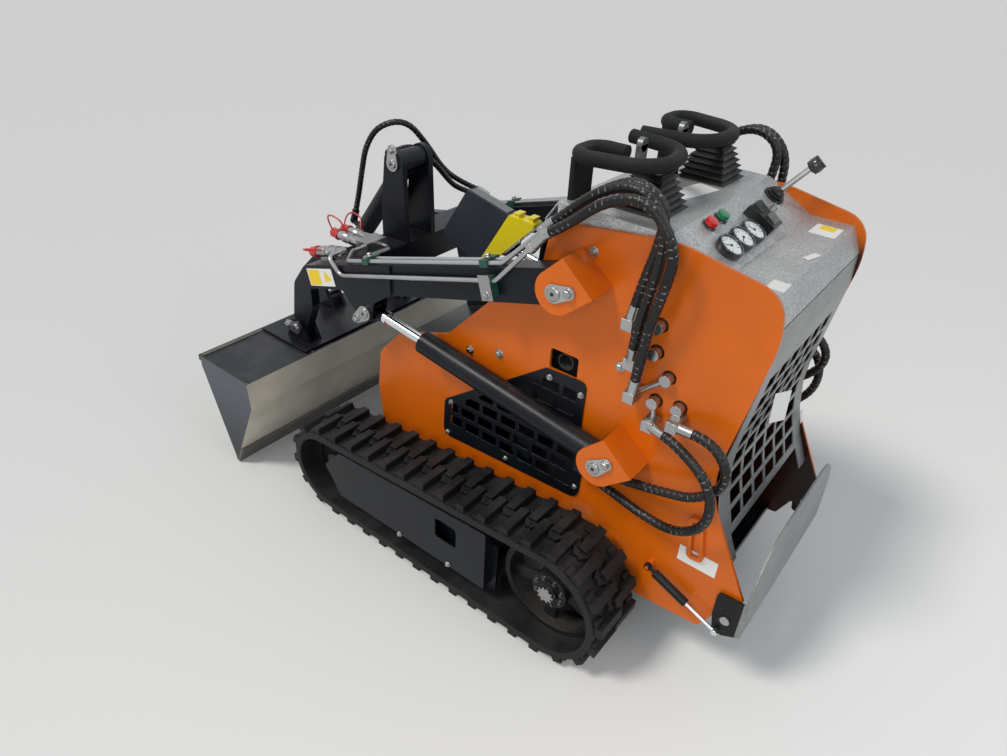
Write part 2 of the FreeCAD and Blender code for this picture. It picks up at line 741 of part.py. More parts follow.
def track_belt():
    ring = loop_slab(LUG_H, TRACK_INNER, TRACK_OUTER)
    ring = ring.cut(loop_slab(BELT_REACH, TRACK_INNER - 1, TRACK_OUTER + 1))
    length = loop_length(LUG_H)
    count = round(length / LUG_PITCH)
    rows = [
        # y0, y1, share of a pitch
        (TRACK_INNER + LUG_SIDE, TRACK_MID + LUG_OVERLAP, 0.0),
        (TRACK_MID - LUG_OVERLAP, TRACK_OUTER - LUG_SIDE, 0.5),
    ]
    lugs = []
    for y0, y1, share in rows:
        for i in range(count):
            x, z, angle = loop_station((i + share) * length / count, LUG_H)
            level = abs(math.sin(angle) + 1) < 1e-6
            height = LUG_H if level else LUG_H - LUG_TRIM
            lug = Part.makeBox(LUG_LENGTH, y1 - y0, height + LUG_BITE, vec(-LUG_LENGTH / 2, y0, -LUG_BITE))
            lug.rotate(vec(0, 0, 0), vec(0, 1, 0), 90 - math.degrees(angle))
            lug.translate(vec(x, 0, z))
            lugs.append(lug)
    return ring.multiFuse(lugs)


def drive_sprocket():
    """Spoked rim with a hub, on the hydraulic motor's shaft."""
    y0, y1 = TRACK_MID - WHEEL_W / 2, TRACK_MID + WHEEL_W / 2
    rim_r = REAR_R - BELT_REACH - SEAT
    rim = pin_y(REAR_CENTRE, rim_r, y0, y1).cut(pin_y(REAR_CENTRE, rim_r - 16, y0 - 1, y1 + 1))
    spokes = []
    for i in range(SPOKES):
        spoke = box(HUB_R - 6, rim_r - 8, TRACK_MID - 7, TRACK_MID + 7, -SPOKE_W / 2, SPOKE_W / 2)
        spoke.rotate(vec(0, 0, 0), vec(0, 1, 0), 360.0 * i / SPOKES + 15.0)
        spoke.translate(vec(REAR_CENTRE[0], 0, REAR_CENTRE[1]))
        spokes.append(spoke)
    hub = pin_y(REAR_CENTRE, HUB_R, y0, y1 + 6)
    cap = pin_y(REAR_CENTRE, HUB_CAP_R, y1 + 6, y1 + 18)
    return rim.fuse(spokes + [hub, cap])


def drive_motor():
    """Motor body between the side plate and the hub."""
    body = pin_y(REAR_CENTRE, MOTOR_R, BODY_HALF, BODY_HALF + MOTOR_L)
    neck = pin_y(REAR_CENTRE, MOTOR_NECK_R, BODY_HALF + MOTOR_L, TRACK_MID - WHEEL_W / 2)
    return body.fuse(neck)


def track_frame():
    cheek_rows = [
        (FRAME_X0, FRAME_Z0, 10.0),
        (ROLLER_X[-1] + 40.0, FRAME_Z0, 30.0),
        (FRONT_X + 30.0, FRONT_R - 34.0, 20.0),
        (FRONT_X + 30.0, FRONT_R + 34.0, 20.0),
        (FRONT_X - 110.0, FRAME_Z1, 30.0),
        (FRAME_X0, FRAME_Z1, 10.0),
    ]
    inner = plate(cheek_rows, CHEEK_Y0, CHEEK_Y0 + CHEEK_T)
    outer = plate(cheek_rows, CHEEK_Y1 - CHEEK_T, CHEEK_Y1)
    roof = box(FRAME_X0, FRONT_X - 140.0, CHEEK_Y0, CHEEK_Y1, FRAME_Z1 - CHEEK_T, FRAME_Z1)
    arms = []
    for x in FRAME_ARM_X:
        arms.append(box(x, x + FRAME_ARM[0], BODY_HALF, CHEEK_Y0, FRAME_Z1 - FRAME_ARM[1], FRAME_Z1))
    return inner.fuse([outer, roof] + arms)


def track_wheels():
    """Front idler and bottom rollers, each on its axle between the frame's cheeks."""
    y0, y1 = TRACK_MID - WHEEL_W / 2, TRACK_MID + WHEEL_W / 2
    inner, outer = CHEEK_Y0 + CHEEK_T, CHEEK_Y1 - CHEEK_T
    idler_r = FRONT_R - BELT_REACH - SEAT
    wheel = pin_y(FRONT_CENTRE, idler_r, y0, y1)
    groove = pin_y(FRONT_CENTRE, idler_r + 1, TRACK_MID - 12, TRACK_MID + 12)
    groove = groove.cut(pin_y(FRONT_CENTRE, idler_r - 22, TRACK_MID - 13, TRACK_MID + 13))
    dish = pin_y(FRONT_CENTRE, idler_r - 26, y1 - 14, y1 + 1)
    dish = dish.cut(pin_y(FRONT_CENTRE, 38.0, y1 - 15, y1 + 2))
    axle = pin_y(FRONT_CENTRE, 18.0, inner, outer)
    out = [wheel.cut([groove, dish]).fuse(axle)]
    for x in ROLLER_X:
        place = (x, BELT_REACH + SEAT + ROLLER_R)
        out.append(pin_y(place, ROLLER_R, y0, y1).fuse(pin_y(place, 14.0, inner, outer)))
    return out


COVER_OUTLINE = [
    (-280.0, 306.0, 6.0),
    (-280.0, 103.0, 6.0),
    (300.0, 96.0, 6.0),
    (360.0, 190.0, 6.0),
    (290.0, 268.0, 6.0),
]
COVER_WINDOW = (-179.0, -102.0, 187.0, 258.0)
COVER_Y1 = CHEEK_Y1 + 33.0
COVER_PLATE_T = 5.0


def track_cover():
    """Box cover over the track frame: a face plate with a rim back to the cheek."""
    body = plate(COVER_OUTLINE, CHEEK_Y1, COVER_Y1)
    hollow = Part.Face(inset_outline(COVER_OUTLINE, COVER_PLATE_T))
    hollow.translate(vec(0, CHEEK_Y1 - 1, 0))
    hollow = hollow.extrude(vec(0, COVER_Y1 - COVER_PLATE_T - CHEEK_Y1 + 1, 0))
    x0, x1, z0, z1 = COVER_WINDOW
    window = [(x0, z0, 12.0), (x1, z0, 12.0), (x1, z1, 12.0), (x0, z1, 12.0)]
    return body.cut([hollow, plate(window, CHEEK_Y1, COVER_Y1 + 1)])


export_pair("track_belt", track_belt())
export_pair("drive_sprocket", drive_sprocket())
export_both("drive_motors", drive_motor())
export_pair("track_frame", track_frame())
export_pair("track_wheels", *track_wheels())
export_pair("track_cover", track_cover())


# Loader arms

HEAD_T = 6.0
LUG_PIN_LEAN = 220.0    # degrees, lean of the keeper plate on the lift rod's pin
HEAD_OUTLINE = [
    (180.0, 868.0, 0.0),
    (534.0, 760.0, 8.0),
    (518.0, 690.0, 8.0),
    (376.0, 734.0, 20.0),
    (306.0, 668.0, 30.0),
    (262.0, 668.0, 30.0),
    (250.0, 735.0, 20.0),
    (180.0, 785.0, 0.0),
]
HEAD_Y0 = CYL_Y - EYE_W / 2 - FACE_GAP - HEAD_T


def arm_place(distance, height):
    """Place on the arm: distance along it from the pivot, height over its centreline."""
    a = math.radians(ARM_SLOPE)
    height += ARM_RISE
    return (ARM_PIVOT[0] + distance * math.cos(a) - height * math.sin(a),
            ARM_PIVOT[1] + distance * math.sin(a) + height * math.cos(a))


def arm_slab(s0, s1, low, high, y0, y1):
    corners = [arm_place(s0, low), arm_place(s1, low), arm_place(s1, high), arm_place(s0, high)]
    return plate([(p[0], p[1], 0) for p in corners], y0, y1)


def loader_arm():
    half = ARM_H / 2
    tube = arm_slab(0, ARM_LENGTH, -half, half, ARM_Y0, ARM_Y1)
    eye = pin_y(arm_place(0, 0), half, ARM_Y0, ARM_Y1)
    hollow = arm_slab(60, ARM_LENGTH + 1, ARM_WALL - half, half - ARM_WALL,
                      ARM_Y0 + ARM_WALL, ARM_Y1 - ARM_WALL)
    washers = pin_y(ARM_PIVOT, 30.0, BODY_HALF + FACE_GAP, BRACKET_Y0 - FACE_GAP)
    body = tube.fuse([eye, washers]).cut(hollow)
    return body.cut(pin_y(ARM_PIVOT, ARM_PIN_R + PIN_FIT, BODY_HALF, BRACKET_Y1))


def arm_head():
    """Two cheeks at the arm's front that hold the lift rod's eye, closed on top and in front."""
    outer = plate(HEAD_OUTLINE, ARM_Y1, ARM_Y1 + HEAD_T)
    inner = plate(HEAD_OUTLINE, HEAD_Y0, HEAD_Y0 + HEAD_T)
    roof = strip([HEAD_OUTLINE[1][:2], arm_place(ARM_LENGTH, ARM_H / 2)], HEAD_T, HEAD_Y0, ARM_Y1 + HEAD_T)
    nose = strip([HEAD_OUTLINE[2][:2], HEAD_OUTLINE[1][:2]], HEAD_T, HEAD_Y0, ARM_Y1 + HEAD_T)
    return outer.fuse([inner, roof, nose])


def lift_lug_pin():
    return headed_pin(LIFT_EYE, LIFT_PIN_R, ARM_Y1 + HEAD_T, ARM_Y1 + HEAD_T + 1.0, LUG_PIN_LEAN)


def crossmember():
    half = HEAD_Y0
    body = box(CROSS_X0, CROSS_X1, -half, half, CROSS_Z0, CROSS_Z1)
    wall = 8.0
    hollow = box(CROSS_X0 + wall, CROSS_X1 - wall, -half - 1, half + 1, CROSS_Z0 + wall, CROSS_Z1 - wall)
    return body.cut(hollow)


def tower():
    rows = [
        (CROSS_X0, CROSS_Z1, 0.0),
        (CROSS_X1 - 3.0, CROSS_Z1, 0.0),
        (CROSS_X1 - 3.0, CROSS_Z1 + 95.0, 30.0),
        (TOWER_PIN[0] + EAR_TOP_R, TOWER_PIN[1], 0.0),
        (TOWER_PIN[0] - EAR_TOP_R, TOWER_PIN[1], 0.0),
    ]
    parts = []
    for y0 in (EAR_Y0, -EAR_Y0 - EAR_T):
        ear = plate(rows, y0, y0 + EAR_T).fuse(pin_y(TOWER_PIN, EAR_TOP_R, y0, y0 + EAR_T))
        parts.append(ear.cut(pin_y(TOWER_PIN, COUPLER_PIN_R + PIN_FIT, y0 - 1, y0 + EAR_T + 1)))
    return parts


LEG_NOSE_R = 36.0
LEG_OUTLINE = [
    (CROSS_X1, CROSS_Z1, 0.0),
    (590.0, 766.0, 60.0),
    (690.0, 670.0, 60.0),
    (746.0, 600.0, 60.0),
    (COUPLER_PIN[0] + LEG_NOSE_R - 6.0, COUPLER_PIN[1], 0.0),
    (COUPLER_PIN[0] - LEG_NOSE_R, COUPLER_PIN[1], 0.0),
    (664.0, 530.0, 60.0),
    (664.0, 610.0, 60.0),
    (600.0, 690.0, 60.0),
    (CROSS_X1, CROSS_Z0, 0.0),
]


def coupler_leg():
    body = plate(LEG_OUTLINE, LEG_Y0, LEG_Y1).fuse(pin_y(COUPLER_PIN, LEG_NOSE_R, LEG_Y0, LEG_Y1))
    return body.cut(pin_y(COUPLER_PIN, COUPLER_PIN_R + PIN_FIT, LEG_Y0 - 1, LEG_Y1 + 1))


# Oil tubes on the arms

TUBE_R = 6.0
TUBE_BEND = 30.0
TUBE_LIFT = TUBE_R + 2.0                # tube's centre over the arm's top
TUBE_TOP_Y = ARM_Y1 - 4.0
TUBE_INNER_Y = TUBE_TOP_Y - 25.0
TUBE_SIDE_Y = ARM_Y1 + HEAD_T + TUBE_R + 2.0
TUBE_SIDE_H = 14.5                      # side tube over the arm's centreline
TUBE_FRONT_AT = (735.0, 712.0, 676.0)   # front bends, from the pivot: side, top and inner tube
TUBE_REAR_AT = (166.0, 152.0, 165.0)    # rear bends
HOSE_R = 11.0
FERRULE_R = 12.0
FERRULE_SKIRT = 18.0    # ferrule's last part, in line with the hose
KNEE_R = 12.6           # ball where a ferrule bends
ELBOW_R = 11.0
HEX_R = 13.5
HEX_L = 14.0
TILT_TUBE_AT = 700.0    # last bend of the right arm's tubes
COUPLER_BODY_R = 14.0
MANIFOLD = (404.0, 452.0, 138.0, 215.0, 826.0)      # x0, x1, y0, y1, top
COUPLER_RUN = 110.0
COUPLER_STEP = 39.0
SIDE_COUPLER = (430.0, ARM_Y0 + 23.0, 822.0)


def on_arm(distance, height, y):
    """A point on the arm: distance from the pivot, height over its centreline, and Y."""
    x, z = arm_place(distance, height)
    return (x, y, z)


export_pair("loader_arm", loader_arm().fuse(arm_head()))
export("crossmember", crossmember().multiFuse(tower()))
export_both("coupler_legs", coupler_leg())


TOP_H = ARM_H / 2 + TUBE_LIFT
HOSE_TOP = [
    # tube's end, hose's start: outer side tube, top tube, inner tube
    ((-268.0, TUBE_SIDE_Y, 1056.0), (-316.0, TUBE_SIDE_Y, 1107.0)),
    ((-275.0, TUBE_TOP_Y - 9.0, 1089.0), (-307.0, TUBE_TOP_Y - 9.0, 1122.0)),
    ((-275.0, TUBE_INNER_Y - 14.0, 1085.0), (-305.0, TUBE_INNER_Y - 14.0, 1118.0)),
]
TOP_ROUTE = [
    (MANIFOLD[0] + 24.0, MANIFOLD[3], 808.0),
    (MANIFOLD[0] + 24.0, MANIFOLD[3] + 34.0, 808.0),
    on_arm(TUBE_FRONT_AT[1], TOP_H, TUBE_TOP_Y),
    on_arm(TUBE_REAR_AT[1], TOP_H, TUBE_TOP_Y),
    HOSE_TOP[1][0],
]
INNER_ROUTE = [
    (MANIFOLD[0], MANIFOLD[2] + 20.0, 808.0),
    (MANIFOLD[0] - 34.0, MANIFOLD[2] + 20.0, 808.0),
    on_arm(TUBE_FRONT_AT[2], TOP_H, TUBE_INNER_Y),
    on_arm(TUBE_REAR_AT[2], TOP_H, TUBE_INNER_Y),
    HOSE_TOP[2][0],
]
SIDE_ROUTE = [
    (SIDE_COUPLER[0] - HEX_L, SIDE_COUPLER[1] + ELBOW_R, SIDE_COUPLER[2] + 4.0),
    (SIDE_COUPLER[0] - HEX_L, TUBE_SIDE_Y, SIDE_COUPLER[2] + 4.0),
    on_arm(TUBE_FRONT_AT[0], TUBE_SIDE_H, TUBE_SIDE_Y),
    on_arm(TUBE_REAR_AT[0], TUBE_SIDE_H, TUBE_SIDE_Y),
    HOSE_TOP[0][0],
]
TILT_ENDS = [
    # tube's end, hose's start, on the left before mirroring
    ((402.0, TUBE_TOP_Y + 2.0, 836.0), (438.0, TUBE_TOP_Y - 15.0, 856.0)),
    ((402.0, TUBE_INNER_Y - 2.0, 836.0), (432.0, TUBE_INNER_Y - 21.0, 851.0)),
]


def beside(rows):
    """Points on the left, from rows of x, distance out from the side plate's face, and z."""
    return [(x, BODY_HALF + out, z) for x, out, z in rows]


LOOP_ENDS = [
    # hose's end, elbow under the barrel: long loop, short loop
    ((-470.0, CYL_Y - 7.0, 500.0), (-424.0, CYL_Y - 7.0, 506.0)),
    ((-520.0, CYL_Y - 3.0, 537.0), (-464.0, CYL_Y - 1.0, 528.0)),
]
# Lower ends of the arm hoses, with their ports
ARM_HOSE_ENDS = beside([(-540.0, 40.0, 822.0), (-521.0, 34.0, 893.0), (-504.0, 22.0, 984.0)])
HOSE_LOW = list(zip(ARM_HOSE_ENDS, (HOSE_PORTS[2], HOSE_PORTS[1], HOSE_PORTS[0])))
# Starts of the lift hoses, with their ports: long loop, short loop
LIFT_HOSE_STARTS = beside([(-633.0, 50.0, 723.0), (-693.0, 45.0, 755.0)])
LOOP_STARTS = list(zip(LIFT_HOSE_STARTS, (HOSE_PORTS[4], HOSE_PORTS[3])))
PORT_FERRULE_L = 47.0
TILT_GLAND_PORT = 362.0     # along the barrel from its pin
TILT_BAR_R = 9.0
TILT_PORTS = [
    # elbow, hose's start: gland port, base port
    ((706.0, 0.0, 758.0), (692.0, 0.0, 796.0)),
    ((500.0, 22.0, 1030.0), (500.0, -8.0, 1030.0)),
]
ARM_HOSES = [
    [HOSE_TOP[0][1]] + beside([
        (-358.0, 77.0, 1137.0), (-428.0, 74.0, 1200.0), (-518.0, 73.0, 1230.0), (-594.0, 73.0, 1151.0),
        (-580.0, 66.0, 1056.0), (-556.0, 55.0, 963.0), (-546.0, 43.0, 870.0),
    ]) + [HOSE_LOW[0][0]],
    [HOSE_TOP[1][1]] + beside([
        (-339.0, 51.0, 1152.0), (-398.0, 49.0, 1206.0), (-481.0, 47.0, 1240.0), (-549.0, 47.0, 1190.0),
        (-555.0, 48.0, 1099.0), (-540.0, 47.0, 1021.0), (-528.0, 46.0, 945.0),
    ]) + [HOSE_LOW[1][0]],
    [HOSE_TOP[2][1]] + beside([
        (-336.0, 23.0, 1151.0), (-394.0, 22.0, 1203.0), (-470.0, 22.0, 1241.0), (-538.0, 22.0, 1205.0),
        (-533.0, 22.0, 1120.0), (-514.0, 22.0, 1045.0),
    ]) + [HOSE_LOW[2][0]],
]
LIFT_HOSES = [
    [LOOP_STARTS[0][0]] + beside([
        (-684.0, 66.0, 723.0), (-771.0, 81.0, 672.0), (-782.0, 80.0, 570.0), (-714.0, 62.0, 491.0),
        (-616.0, 46.0, 478.0), (-519.0, 36.0, 492.0),
    ]) + [LOOP_ENDS[0][0]],
    [LOOP_STARTS[1][0]] + beside([
        (-748.0, 48.0, 758.0), (-797.0, 53.0, 686.0), (-738.0, 50.0, 600.0), (-652.0, 46.0, 571.0),
        (-563.0, 41.0, 547.0),
    ]) + [LOOP_ENDS[1][0]],
]
TILT_HOSE_R = 9.0
TILT_HOSES = [
    [TILT_PORTS[0][1], (674.0, 0.0, 850.0), (650.0, 0.0, 940.0), (630.0, -4.0, 1020.0),
     (580.0, -16.0, 1090.0), (505.0, -60.0, 1112.0), (482.0, -125.0, 1030.0), (484.0, -190.0, 948.0),
     (482.0, -268.0, 886.0), (TILT_ENDS[0][1][0], -TILT_ENDS[0][1][1], TILT_ENDS[0][1][2])],
    [TILT_PORTS[1][1], (506.0, -84.0, 1040.0), (446.0, -128.0, 975.0), (450.0, -190.0, 910.0),
     (464.0, -250.0, 868.0), (TILT_ENDS[1][1][0], -TILT_ENDS[1][1][1], TILT_ENDS[1][1][2])],
]


def skirt(route, radius=FERRULE_R, last=False, length=FERRULE_SKIRT):
    """Ferrule's last part, in line with the hose's first or last run, ending at the hose's face."""
    end, inner = (route[-1], route[-2]) if last else (route[0], route[1])
    a, b = vec(*end), vec(*inner)
    back = (a - b).normalize()
    return Part.makeCylinder(radius, length, a, back), a + back * length


def ferrule(start, route, last=False):
    """Hose ferrule from a tube's end to the hose, with a thicker nut at the tube."""
    sleeve, root = skirt(route, FERRULE_R, last)
    a = vec(*start)
    ahead = (root - a).normalize()
    body = bar(start, (root.x, root.y, root.z), FERRULE_R)
    nut = Part.makeCylinder(HEX_R, HEX_L, a, ahead)
    return body.fuse([nut, sleeve, Part.makeSphere(KNEE_R, root)])


def arm_tubes():
    left = []
    for route, hose in ((SIDE_ROUTE, ARM_HOSES[0]), (TOP_ROUTE, ARM_HOSES[1]), (INNER_ROUTE, ARM_HOSES[2])):
        left.append(swept(route, TUBE_R, TUBE_BEND).fuse(ferrule(route[-1], hose)))
    right = []
    for i, route in ((0, TOP_ROUTE), (1, INNER_ROUTE)):
        front, rear = TILT_ENDS[i][0], route[3]
        tube = swept([front, on_arm(TILT_TUBE_AT, TOP_H, rear[1])] + route[3:], TUBE_R, TUBE_BEND)
        tube = mirrored(tube.fuse(ferrule(route[-1], ARM_HOSES[i + 1])))
        right.append(tube.fuse(ferrule((front[0], -front[1], front[2]), TILT_HOSES[i], True)))
    return left + right


CLAMP_L = 24.0
CLAMP_AT = [190.0, 615.0]
CLAMP_SPAN = 7.0            # clamp beyond the tubes' sides
SIDE_CLAMP_AT = 175.0
SIDE_CLAMP_L = 34.0
SIDE_CLAMP_H = 20.0


def tube_clamps():
    """Plastic blocks that hold the tubes on the arm's top, and one on the left arm's side."""
    top = ARM_H / 2
    out = []
    for at in CLAMP_AT:
        block = arm_slab(at, at + CLAMP_L, top, TOP_H + TUBE_R + CLAMP_SPAN / 2,
                         TUBE_INNER_Y - TUBE_R - CLAMP_SPAN, TUBE_TOP_Y + TUBE_R + CLAMP_SPAN / 2)
        for y in (TUBE_TOP_Y, TUBE_INNER_Y):
            start, end = on_arm(at - 1, TOP_H, y), on_arm(at + CLAMP_L + 1, TOP_H, y)
            block = block.cut(bar(start, end, TUBE_R + PIN_FIT))
        out.extend([block, mirrored(block)])
    at = SIDE_CLAMP_AT
    side = arm_slab(at, at + SIDE_CLAMP_L, TUBE_SIDE_H - 2 * SIDE_CLAMP_H, TUBE_SIDE_H + SIDE_CLAMP_H / 2,
                    ARM_Y1, TUBE_SIDE_Y + TUBE_R + CLAMP_SPAN / 2)
    start = on_arm(at - 1, TUBE_SIDE_H, TUBE_SIDE_Y)
    end = on_arm(at + SIDE_CLAMP_L + 1, TUBE_SIDE_H, TUBE_SIDE_Y)
    hole = bar(start, end, TUBE_R + PIN_FIT)
    out.append(side.cut(hole))
    return out


def roof_height(x):
    """Height of the head's roof at a place along it."""
    start, end = arm_place(ARM_LENGTH, ARM_H / 2), HEAD_OUTLINE[1]
    return start[1] + (end[1] - start[1]) * (x - start[0]) / (end[0] - start[0])


def quick_couplers():
    """Couplers for a powered tool: two on a block on the crossmember, one on the left arm's head."""
    x0, x1, y0, y1, top = MANIFOLD
    block = box(x0, x1, y0, y1, CROSS_Z1, top)
    z = (CROSS_Z1 + top) / 2 + 4.0
    parts = []
    for i in (0, 1):
        y = (y0 + y1) / 2 + (i - 0.5) * COUPLER_STEP
        parts.append(bar((x1 - 2, y, z), (x1 + COUPLER_RUN, y, z), COUPLER_BODY_R))
    pair = block.fuse(parts)
    cx, cy, cz = SIDE_COUPLER
    a = math.radians(ARM_SLOPE)
    tip = (cx + COUPLER_RUN * math.cos(a), cy, cz + COUPLER_RUN * math.sin(a))
    single = bar(SIDE_COUPLER, tip, COUPLER_BODY_R)
    rear = (cx - HEX_L, cz + 4.0)
    nut = bar((rear[0], cy, rear[1]), (cx + 2, cy, cz), ELBOW_R)
    nut = nut.fuse(pin_y(rear, ELBOW_R, cy - ELBOW_R, cy + ELBOW_R))
    foot_x = cx + COUPLER_RUN / 3
    rows = [(foot_x, roof_height(foot_x), 0), (foot_x + 30, roof_height(foot_x + 30), 0),
            (foot_x + 30, roof_height(foot_x + 30) + 16, 0), (foot_x, roof_height(foot_x) + 16, 0)]
    foot = plate(rows, cy - 11, cy + 11)
    return pair, single.fuse([nut, foot])


export("arm_tubes", *arm_tubes())
export("tube_clamps", *tube_clamps())
export("quick_couplers", *quick_couplers())


# Cylinders

def pin_distance(base, eye):
    return math.hypot(eye[0] - base[0], eye[1] - base[1])


def round_between(base, eye, y, start, end, radius):
    a, b = along(base, eye, start), along(base, eye, end)
    return bar((a[0], y, a[1]), (b[0], y, b[1]), radius)


def cylinder_barrel(base, eye, y, barrel_r, barrel_l, rod_r, eye_r, pin_r, eye_w=EYE_W):
    """Base eye, barrel tube, gland and bore for the rod."""
    knuckle = pin_y(base, eye_r, y - eye_w / 2, y + eye_w / 2)
    tube = round_between(base, eye, y, eye_r - 4.0, barrel_l, barrel_r)
    bore = round_between(base, eye, y, eye_r + 22.0, barrel_l + 1.0, rod_r + PIN_FIT)
    whole = knuckle.fuse(tube).cut(bore)
    return whole.cut(pin_y(base, pin_r + PIN_FIT, y - eye_w, y + eye_w))


def cylinder_rod(base, eye, y, barrel_l, rod_r, eye_r, stroke):
    """Rod with a plain round eye; stroke is how far it can still run out of the barrel."""
    length = pin_distance(base, eye)
    start = barrel_l - stroke - ROD_HELD
    neck_start = length - eye_r - ROD_NECK
    shaft = round_between(base, eye, y, start, neck_start + ROD_NECK / 2, rod_r)
    neck = round_between(base, eye, y, neck_start, length - eye_r / 2, rod_r + 4.0)
    knuckle = pin_y(eye, eye_r, y - EYE_W / 2, y + EYE_W / 2)
    return shaft.fuse(neck), knuckle


def barrel_underside(x):
    """Height of the lift barrel's lower side at a place along it."""
    slope = (LIFT_EYE[1] - LIFT_BASE[1]) / (LIFT_EYE[0] - LIFT_BASE[0])
    return LIFT_BASE[1] + slope * (x - LIFT_BASE[0]) - LIFT_BARREL_R * math.hypot(1, slope)


def barrel_fittings():
    out = []
    for (start, elbow), route in zip(LOOP_ENDS, LIFT_HOSES):
        sleeve, root = skirt(route, FERRULE_R, True)
        out.extend([sleeve, Part.makeSphere(KNEE_R, root), bar((root.x, root.y, root.z), elbow, FERRULE_R)])
        out.append(Part.makeSphere(KNEE_R, vec(*elbow)))
        out.append(bar(elbow, (elbow[0], elbow[1], barrel_underside(elbow[0]) + 8.0), ELBOW_R))
    return out


export_pair("lift_barrel", cylinder_barrel(LIFT_BASE, LIFT_EYE, CYL_Y, LIFT_BARREL_R, LIFT_BARREL_L,
                                           LIFT_ROD_R, LIFT_EYE_R, LIFT_PIN_R).fuse(barrel_fittings()))
for side, y in (("left", CYL_Y), ("right", -CYL_Y)):
    shaft, knuckle = cylinder_rod(LIFT_BASE, LIFT_EYE, y, LIFT_BARREL_L, LIFT_ROD_R, LIFT_EYE_R, LIFT_STROKE)
    export("lift_rod_" + side, shaft.fuse(knuckle))


def tilt_fittings():
    gland = along(TOWER_PIN, TILT_EYE, TILT_GLAND_PORT)
    elbow, base_elbow = TILT_PORTS[0][0], TILT_PORTS[1][0]
    outward = vec(elbow[0] - gland[0], 0, elbow[2] - gland[1]).normalize() * (TILT_ROD_R + 6.0)
    root = (gland[0] + outward.x, 0.0, gland[1] + outward.z)
    base_root = (TOWER_PIN[0] + COUPLER_PIN_R + 8.0, base_elbow[1], TOWER_PIN[1] + 4.0)
    out = [bar(root, elbow, TILT_BAR_R), bar(base_root, base_elbow, TILT_BAR_R)]
    for knee, route in ((elbow, TILT_HOSES[0]), (base_elbow, TILT_HOSES[1])):
        sleeve, back = skirt(route)
        out.extend([sleeve, bar((back.x, back.y, back.z), knee, FERRULE_R)])
        out.extend([Part.makeSphere(KNEE_R, back), Part.makeSphere(KNEE_R, vec(*knee))])
    return out


export("tilt_barrel", cylinder_barrel(TOWER_PIN, TILT_EYE, 0.0, TILT_BARREL_R, TILT_BARREL_L,
                                      TILT_ROD_R, TILT_BARREL_R + 2.0, COUPLER_PIN_R,
                                      2 * (EAR_Y0 - FACE_GAP)).fuse(tilt_fittings()))
tilt_shaft, tilt_knuckle = cylinder_rod(TOWER_PIN, TILT_EYE, 0.0, TILT_BARREL_L, TILT_ROD_R,
                                        TILT_EYE_R, 0.0)
export("tilt_rod", tilt_shaft.fuse(tilt_knuckle))
export("arm_pins", headed_pin(TOWER_PIN, COUPLER_PIN_R, -EAR_Y0 - EAR_T, EAR_Y0 + EAR_T, 90.0),
       lift_lug_pin(), mirrored(lift_lug_pin()))


# Coupler and bucket

COUPLER_HALF = BODY_HALF + 15.0
COUPLER_T = 10.0
COUPLER_X0 = 662.0
COUPLER_X1 = 898.0


def coupler():
    top = BUCKET_RIM[1]
    deck = box(COUPLER_X0, COUPLER_X1, -COUPLER_HALF, COUPLER_HALF, top, top + COUPLER_T)
    parts = []
    cuts = []
    for side in (1, -1):
        for inner in (LEG_Y1 + FACE_GAP, LEG_Y0 - FACE_GAP - COUPLER_EAR_T):
            y0 = inner if side > 0 else -inner - COUPLER_EAR_T
            rows = [
                (COUPLER_PIN[0] - 60.0, top, 0.0),
                (COUPLER_PIN[0] + 60.0, top, 0.0),
                (COUPLER_PIN[0] + 32.0, COUPLER_PIN[1] + 4.0, 0.0),
                (COUPLER_PIN[0] - 32.0, COUPLER_PIN[1] + 4.0, 0.0),
            ]
            parts.append(plate(rows, y0, y0 + COUPLER_EAR_T))
            parts.append(pin_y(COUPLER_PIN, 32.5, y0, y0 + COUPLER_EAR_T))
            cuts.append(pin_y(COUPLER_PIN, COUPLER_PIN_R + PIN_FIT, y0 - 1, y0 + COUPLER_EAR_T + 1))
        inner = EYE_W / 2 + FACE_GAP
        y0 = inner if side > 0 else -inner - COUPLER_EAR_T
        rows = [
            (TILT_EYE[0] - 60.0, top, 0.0),
            (TILT_EYE[0] + 20.0, top, 0.0),
            (TILT_EYE[0] + TILT_EYE_R, TILT_EYE[1], 0.0),
            (TILT_EYE[0] - TILT_EYE_R, TILT_EYE[1], 0.0),
        ]
        parts.append(plate(rows, y0, y0 + COUPLER_EAR_T))
        parts.append(pin_y(TILT_EYE, TILT_EYE_R, y0, y0 + COUPLER_EAR_T))
    return deck.multiFuse(parts).cut(cuts)


def coupler_pins():
    out = []
    for side in (1, -1):
        one = headed_pin(COUPLER_PIN, COUPLER_PIN_R, LEG_Y0 - FACE_GAP - COUPLER_EAR_T,
                         LEG_Y1 + FACE_GAP + COUPLER_EAR_T, 180.0)
        out.append(one if side > 0 else mirrored(one))
    return out


def bucket():
    line = [BUCKET_RIM, BUCKET_HEEL_TOP, BUCKET_HEEL_LOW, BUCKET_EDGE]
    shell = strip(line, BUCKET_T, -BUCKET_HALF, BUCKET_HALF)
    side_rows = [BUCKET_RIM + (24.0,), BUCKET_HEEL_TOP + (0.0,), BUCKET_HEEL_LOW + (0.0,),
                 BUCKET_EDGE + (0.0,)]
    parts = [plate(side_rows, BUCKET_HALF - BUCKET_T, BUCKET_HALF),
             plate(side_rows, -BUCKET_HALF, BUCKET_T - BUCKET_HALF)]
    x, z = BUCKET_RIM
    parts.append(box(x - RIM_BAR, x, -BUCKET_HALF, BUCKET_HALF, z - RIM_BAR, z))
    return shell.multiFuse(parts)


def cutting_edge():
    up, t = EDGE_BAR
    start = along(BUCKET_EDGE, BUCKET_HEEL_LOW, up)
    return strip([start, BUCKET_EDGE], -t, -BUCKET_HALF, BUCKET_HALF)


